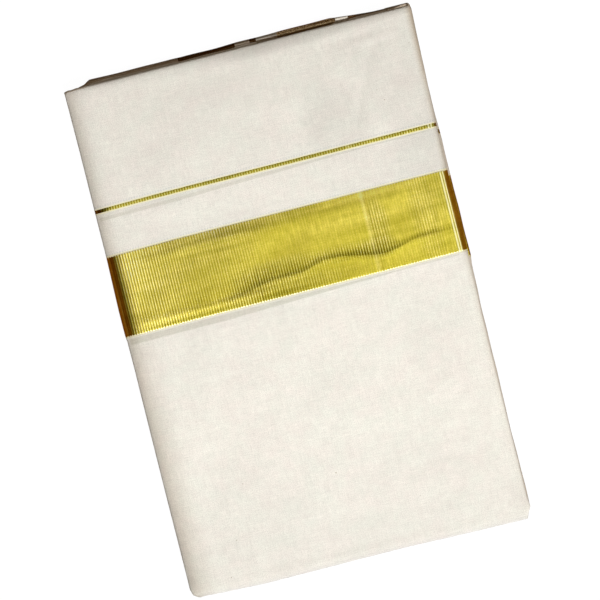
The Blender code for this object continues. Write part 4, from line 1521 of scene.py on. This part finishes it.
def crumple_shade(tree, across, down, crest):
    """The shade above the crumple's crest, 0 to its depth, deeper in the valleys of the ribs."""
    above = calc(tree, "SUBTRACT", stepped(tree, across, *CRUMPLE_LEVEL), down)
    reach = stepped(tree, across, *CRUMPLE_REACH)
    shade = calc(tree, "MULTIPLY", ramp(tree, above, reach, 0.0), ramp(tree, above, -0.0007, 0.0002))
    shade = calc(tree, "MULTIPLY", shade, stepped(tree, across, *CRUMPLE_DEPTH))
    in_valley = calc(tree, "MULTIPLY_ADD", ramp(tree, crest, 0.2, 1.0), -1.2, 1.7)
    return calc(tree, "MULTIPLY", shade, in_valley)


def zari_look(tree, vector, across, down):
    """Colour and height of zari: painted highlights and glints on the crests, painted shade in the valleys,
    and specks of metal yarn.
    """
    crest = rib_crest(tree, across)
    yarn = calc(tree, "SINE", calc(tree, "MULTIPLY", down, 2 * math.pi / YARN_PITCH))
    patchy = noise(tree, vector, 34.0, 60.0, 3.0)
    each_rib = noise(tree, vector, 1.0 / RIB_PITCH, 90.0, 3.0, 0.6)
    specks = noise(tree, vector, 2300.0, 1700.0, 2.0, 0.7)
    fibres = noise(tree, vector, 500.0, 900.0, 2.0, 0.6)
    streaks = noise(tree, vector, 22.0, 260.0, 3.0, 0.6)
    on_line = ramp(tree, down, LINE[1] + 0.002, LINE[1] + 0.001)
    shown = painted_rib_contrast(tree, across, down, on_line)
    # Painted shade in the rib valleys, and painted highlights and glints on the crests.
    valley = calc(tree, "MULTIPLY", ramp(tree, crest, 0.75, 0.0), shown)
    colour = mix(tree, valley, GOLD, GOLD_DEEP)
    light = calc(tree, "MULTIPLY", ramp(tree, crest, 0.30, 1.0), ramp(tree, specks, 0.35, 0.75))
    colour = mix(tree, calc(tree, "MULTIPLY", light, shown), colour, GOLD_LIGHT)
    # Painted highlight along the old fold line, in the colour here and in the value below.
    old_fold = FOLD_LINES[1][0]
    fold = stripe(tree, across, old_fold - 0.0017, old_fold + 0.0010, 0.0010)
    colour = mix(tree, calc(tree, "MULTIPLY", fold, 0.10), colour, GOLD_LIGHT)
    colour = mix(tree, calc(tree, "MULTIPLY", ramp(tree, fibres, 0.42, 0.72), 0.40), colour, GOLD_DEEP)
    # Uneven light and dark of the yarn and the ribs, and the painted shade and highlights of the patches
    # and the crumple.
    value = calc(tree, "MULTIPLY", around(tree, patchy, 0.26), calc(tree, "MULTIPLY_ADD", fold, 0.20, 0.93))
    grain = calc(tree, "MULTIPLY_ADD", ramp(tree, across, 0.030, 0.100), 0.60, 1.0)
    for part, amount in ((each_rib, 0.42), (specks, 0.80), (fibres, 0.52)):
        value = calc(tree, "MULTIPLY", value, around(tree, part, calc(tree, "MULTIPLY", grain, amount)))
    value = calc(tree, "MULTIPLY", value, around(tree, streaks, 0.44))
    value = patched(tree, across, down, value, GOLD_PATCHES)
    shade = crumple_shade(tree, across, down, crest)
    value = calc(tree, "MULTIPLY", value, calc(tree, "MULTIPLY_ADD", shade, -1.0, 1.0))
    value = calc(tree, "MULTIPLY", value, calc(tree, "MULTIPLY_ADD", yarn, 0.05, 1.0))
    colour = scaled(tree, colour, value, 2.0)
    # Painted highlight on the ribs at the right fold, and the left fold's painted dark brown reflection
    # with painted shade on the ribs beside it.
    rib_highlight = stripe(tree, across, *RIB_HIGHLIGHT_SPAN, 0.0006)
    rib_highlight = calc(tree, "MULTIPLY", rib_highlight, ramp(tree, crest, 0.05, 0.60))
    colour = mix(tree, calc(tree, "MULTIPLY", rib_highlight, 0.96), colour, GOLD_LIGHT)
    left_shade = calc(tree, "MULTIPLY_ADD", ramp(tree, across, 0.0010, 0.0028), 0.55, 0.45)
    brown = tinted(tree, left_shade, colour, SHADED_FOLD_GOLD)
    dim = calc(tree, "MULTIPLY_ADD", ramp(tree, across, 0.0142, 0.0038), -0.84, 1.0)
    colour = mix(tree, ramp(tree, across, 0.0066, 0.0038), scaled(tree, colour, dim, 1.3), brown)
    colour = tinted(tree, on_line, colour, GOLD_LINE)
    height = calc(tree, "ADD", calc(tree, "MULTIPLY", yarn, 0.3), specks)
    return colour, height, crest


def zari_finish():
    """Gold zari of the borders, with the pale tips of its rib threads along the band's edges."""
    tree, shader, material = new_finish("gold_zari")
    vector, across, down = cloth_map(tree)
    colour, height, crest = zari_look(tree, vector, across, down)
    from_top, from_bottom = (
        calc(tree, "ABSOLUTE", calc(tree, "SUBTRACT", down, edge)) for edge in BAND
    )
    from_band = calc(tree, "MINIMUM", from_top, from_bottom)
    tip = calc(tree, "MULTIPLY_ADD", crest, 0.0006, 0.0002)
    tips = ramp(tree, calc(tree, "SUBTRACT", from_band, tip), 0.0002, -0.0002)
    colour = mix(tree, calc(tree, "MULTIPLY", tips, 0.8), colour, CREAM)
    tree.links.new(colour, shader.inputs["Base Color"])
    tree.links.new(calc(tree, "MULTIPLY_ADD", tips, -0.8, 1.0), shader.inputs["Metallic"])
    shader.inputs["Roughness"].default_value = 0.31
    bump(tree, shader, height, 0.000034, 0.7)
    return material


def fold_zari_finish():
    """Zari where it goes round the folds at the top edge: the same yarn, painted near black brown as shade,
    with speckled old gold where the right-hand stretches stick out furthest.
    """
    tree, shader, material = new_finish("fold_zari")
    vector, _, along = cloth_map(tree)
    specks = noise(tree, vector, 1900.0, 1300.0, 3.0, 0.7)
    streak = noise(tree, vector, 2600.0, 120.0, 2.0)
    out = ramp(tree, past_top(tree), 0.0032, 0.0036)
    # The dark brown is painted shade; the old gold shows only outside it.
    unshaded = calc(tree, "MULTIPLY", ramp(tree, along, 0.146, 0.150), out)
    colour = mix(tree, ramp(tree, specks, 0.38, 0.66), SHADED_ZARI, mix(tree, unshaded, SHADED_ZARI, OLD_GOLD))
    colour = scaled(tree, colour, around(tree, streak, 0.6))
    tree.links.new(colour, shader.inputs["Base Color"])
    tree.links.new(calc(tree, "MULTIPLY_ADD", unshaded, -0.35, 0.9), shader.inputs["Metallic"])
    shader.inputs["Roughness"].default_value = 0.42
    bump(tree, shader, specks, 0.00009, 0.8)
    return material


def hidden_finish():
    """Cotton of the hidden leaves, mixed a little towards the folds' painted shade colour, gold where the
    borders reach their edges.
    """
    tree, shader, material = new_finish("hidden_cotton")
    vector, across, down = cloth_map(tree)
    colour, threads = cotton_look(tree, vector, across, down)
    colour = mix(tree, 0.35, colour, SHADED_COTTON_AT_FOLDS)
    at_right = ramp(tree, across, 0.236, 0.240)
    band = stripe(tree, down, BAND[0] + 0.0015, BAND[1] + 0.0025, WOVEN_SOFT)
    line = stripe(tree, down, LINE[0] + 0.0018, LINE[1] + 0.0024, 0.0003)
    gold = calc(tree, "MULTIPLY", calc(tree, "MAXIMUM", band, line), at_right)
    tree.links.new(mix(tree, gold, colour, GOLD), shader.inputs["Base Color"])
    tree.links.new(calc(tree, "MULTIPLY", gold, 0.9), shader.inputs["Metallic"])
    tree.links.new(calc(tree, "MULTIPLY_ADD", gold, -0.45, 0.9), shader.inputs["Roughness"])
    shader.inputs["Specular IOR Level"].default_value = 0.15
    bump(tree, shader, threads, 0.00005, 0.7)
    return material


def nep_finish():
    """Brown-grey knots of fibre."""
    tree, shader, material = new_finish("nep_fibre")
    coordinates = tree.nodes.new("ShaderNodeTexCoord").outputs["Object"]
    fibre = noise(tree, coordinates, 4000.0, 4000.0, 3.0)
    tree.links.new(scaled(tree, NEP, around(tree, fibre, 0.6)), shader.inputs["Base Color"])
    shader.inputs["Roughness"].default_value = 0.95
    bump(tree, shader, fibre, 0.00005, 0.8)
    return material


def floor_finish():
    """Pale floor that keeps a faint shadow: mostly its own glow, and a little plain white."""
    tree, _, material = new_finish("pale_floor")
    glow = tree.nodes.new("ShaderNodeEmission")
    glow.inputs["Color"].default_value = (1.0, 1.0, 1.0, 1.0)
    glow.inputs["Strength"].default_value = FLOOR_GLOW
    plain = tree.nodes.new("ShaderNodeBsdfDiffuse")
    plain.inputs["Color"].default_value = (FLOOR_WHITE, FLOOR_WHITE, FLOOR_WHITE, 1.0)
    both = tree.nodes.new("ShaderNodeAddShader")
    tree.links.new(glow.outputs[0], both.inputs[0])
    tree.links.new(plain.outputs[0], both.inputs[1])
    tree.links.new(both.outputs[0], tree.nodes["Material Output"].inputs["Surface"])
    return material


# Studio: the camera, the floor and the surroundings, which turn from brown to dark between two heights
# of the direction in which they are seen.
CAMERA_TURN = math.radians(14.1)
CAMERA_HEIGHT = 4.0
FRAME_WIDTH = 0.432
FRAME_CENTRE = (0.0, 0.0005)
FLOOR_SIZE = 30.0
FLOOR_BELOW = 0.0002
FLOOR_GLOW = 0.985
FLOOR_WHITE = 0.050
AMBIENT = (0.170, 0.133, 0.098, 1.0)
BROWN_SURROUND = (0.222, 0.072, 0.004, 1.0)
DARK_SURROUND = (0.050, 0.038, 0.004, 1.0)
PALE_SURROUND = (0.860, 0.860, 0.850, 1.0)
SURROUND_TURNS = (0.58, 0.68)
KEY_COLOUR = (1.0, 0.993, 0.976)
GLOSS_COLOUR = (1.0, 0.990, 0.950)
LIGHTS = (
    # name, size, height, aside, toward, power, colour, gloss only
    ("key", (2.4, 2.0), 3.40, 0.90, 2.75, 249.5, KEY_COLOUR, False),
    ("overhead", (1.5, 1.7), 1.60, 0.00, 0.35, 4.3, GLOSS_COLOUR, True),
    ("left strip", (0.42, 1.7), 1.50, -0.95, 0.30, 4.2, GLOSS_COLOUR, True),
    ("right strip", (0.42, 1.7), 1.50, 0.95, 0.30, 4.2, GLOSS_COLOUR, True),
)


def add_light(name, size, height, aside, toward, power, colour, gloss_only):
    """A square soft light, `toward` metres in front of the packet and `aside` to its right."""
    data = bpy.data.lights.new(name, "AREA")
    data.shape = "RECTANGLE"
    data.size, data.size_y = size
    data.energy = power
    data.color = colour
    light = bpy.data.objects.new(name, data)
    bpy.context.scene.collection.objects.link(light)
    tilt = math.atan2(math.hypot(aside, toward), height)
    light.location = (aside, -toward, height)
    light.rotation_euler = (tilt, 0.0, math.atan2(aside, toward))
    light.visible_camera = False
    light.visible_diffuse = not gloss_only


def add_world():
    """Dim warm surroundings for the cloth, brown for its metal yarn, and pale behind the floor.

    What the metal yarn mirrors is brown near the horizon and almost black a little higher up.
    """
    world = bpy.data.worlds.new("studio")
    world.use_nodes = True
    tree = world.node_tree
    tree.nodes.clear()
    rays = tree.nodes.new("ShaderNodeLightPath")
    parts = tree.nodes.new("ShaderNodeSeparateXYZ")
    tree.links.new(tree.nodes.new("ShaderNodeTexCoord").outputs["Generated"], parts.inputs[0])
    high = ramp(tree, parts.outputs[2], *SURROUND_TURNS)
    mirrored = mix(tree, high, BROWN_SURROUND, DARK_SURROUND)
    colour = mix(tree, rays.outputs["Is Glossy Ray"], AMBIENT, mirrored)
    colour = mix(tree, rays.outputs["Is Camera Ray"], colour, PALE_SURROUND)
    background = tree.nodes.new("ShaderNodeBackground")
    output = tree.nodes.new("ShaderNodeOutputWorld")
    tree.links.new(colour, background.inputs["Color"])
    tree.links.new(background.outputs[0], output.inputs["Surface"])
    bpy.context.scene.world = world


def add_floor():
    """A plain pale floor, a hair below the packet."""
    bpy.ops.mesh.primitive_plane_add(size=FLOOR_SIZE, location=(0.0, 0.0, -FLOOR_BELOW))
    floor = bpy.context.object
    floor.name = "floor"
    floor.data.materials.append(floor_finish())
    floor.visible_diffuse = False
    floor.visible_glossy = False


def add_camera():
    """Straight above the packet with a long lens, turned so that the packet leans to the left."""
    data = bpy.data.cameras.new("camera")
    data.sensor_width = 36.0
    data.lens = data.sensor_width * CAMERA_HEIGHT / FRAME_WIDTH
    camera = bpy.data.objects.new("camera", data)
    bpy.context.scene.collection.objects.link(camera)
    camera.location = (*FRAME_CENTRE, CAMERA_HEIGHT + STACK_HEIGHT)
    camera.rotation_euler = (0.0, 0.0, -CAMERA_TURN)
    bpy.context.scene.camera = camera


def add_studio():
    """The surroundings, the floor, the camera and the lights."""
    add_world()
    add_floor()
    add_camera()
    for light in LIGHTS:
        add_light(*light)
    scene = bpy.context.scene
    scene.view_settings.view_transform = "Standard"
    scene.view_settings.look = "None"


# Narrow stretches, and the wide neighbour that each is gathered with. Stretches narrower than a
# sheet may be, or nearly so.
NARROW = {
    "outer_zari_line": "outer_plain_top",
    "second_zari_line": "second_plain_top",
    "lower_inner_line_left": "lower_inner_plain_middle",
    "lower_inner_gap_right": "lower_inner_band_right",
    "lower_inner_line_right": "lower_inner_plain_right",
}


def declare_sheets(pieces, flats, extras=()):
    """Gathers, for each stretch that is not narrow, its narrow neighbours and what else belongs to it, and
    does nothing more with them.
    """
    for name, (width, length) in flats.items():
        if name in NARROW:
            continue
        beside = [pieces[narrow] for narrow, wide in NARROW.items() if wide == name]
        beside += [extra for extra, wide in extras if wide == name]


def build():
    """All the pieces with their finishes, and the studio."""
    finishes = {
        "cotton": cotton_finish(),
        "zari": zari_finish(),
        "fold cotton": fold_cotton_finish("lower_fold_cotton", 0.6, 0.92),
        "fold zari": fold_zari_finish(),
        "hidden": hidden_finish(),
        "nep": nep_finish(),
    }
    # The folds' cotton is mixed towards painted shade: 0.92 on the lower fold, 0.35 on the upper one and
    # 0.80 on the curl.
    upper_finishes = {"fold cotton": fold_cotton_finish("upper_fold_cotton", 0.0, 0.35)}
    finishes["curl"] = fold_cotton_finish("curl_cotton", 0.0, 0.80)
    wrap, wrap_flats = add_wrap(finishes)
    second, second_flats = add_second_fold(finishes)
    upper, upper_flats = add_inner_folds(
        UPPER_INNER_STRETCHES, UPPER_LEAVES, UPPER_SPAN, 1, upper_finishes
    )
    lower, lower_flats = add_inner_folds(
        LOWER_INNER_STRETCHES, LOWER_LEAVES, LOWER_SPAN, 2, finishes
    )
    hidden, hidden_flats = add_hidden_layers(finishes)
    curl = add_corner_curl(finishes)
    neps = add_neps(finishes)
    declare_sheets(wrap, wrap_flats, [(neps, "outer_plain_bottom")])
    declare_sheets(second, second_flats, [(curl, "second_plain_top")])
    declare_sheets(hidden, hidden_flats)
    declare_sheets(upper, upper_flats)
    declare_sheets(lower, lower_flats)
    add_studio()


build()
bpy.context.view_layer.update()
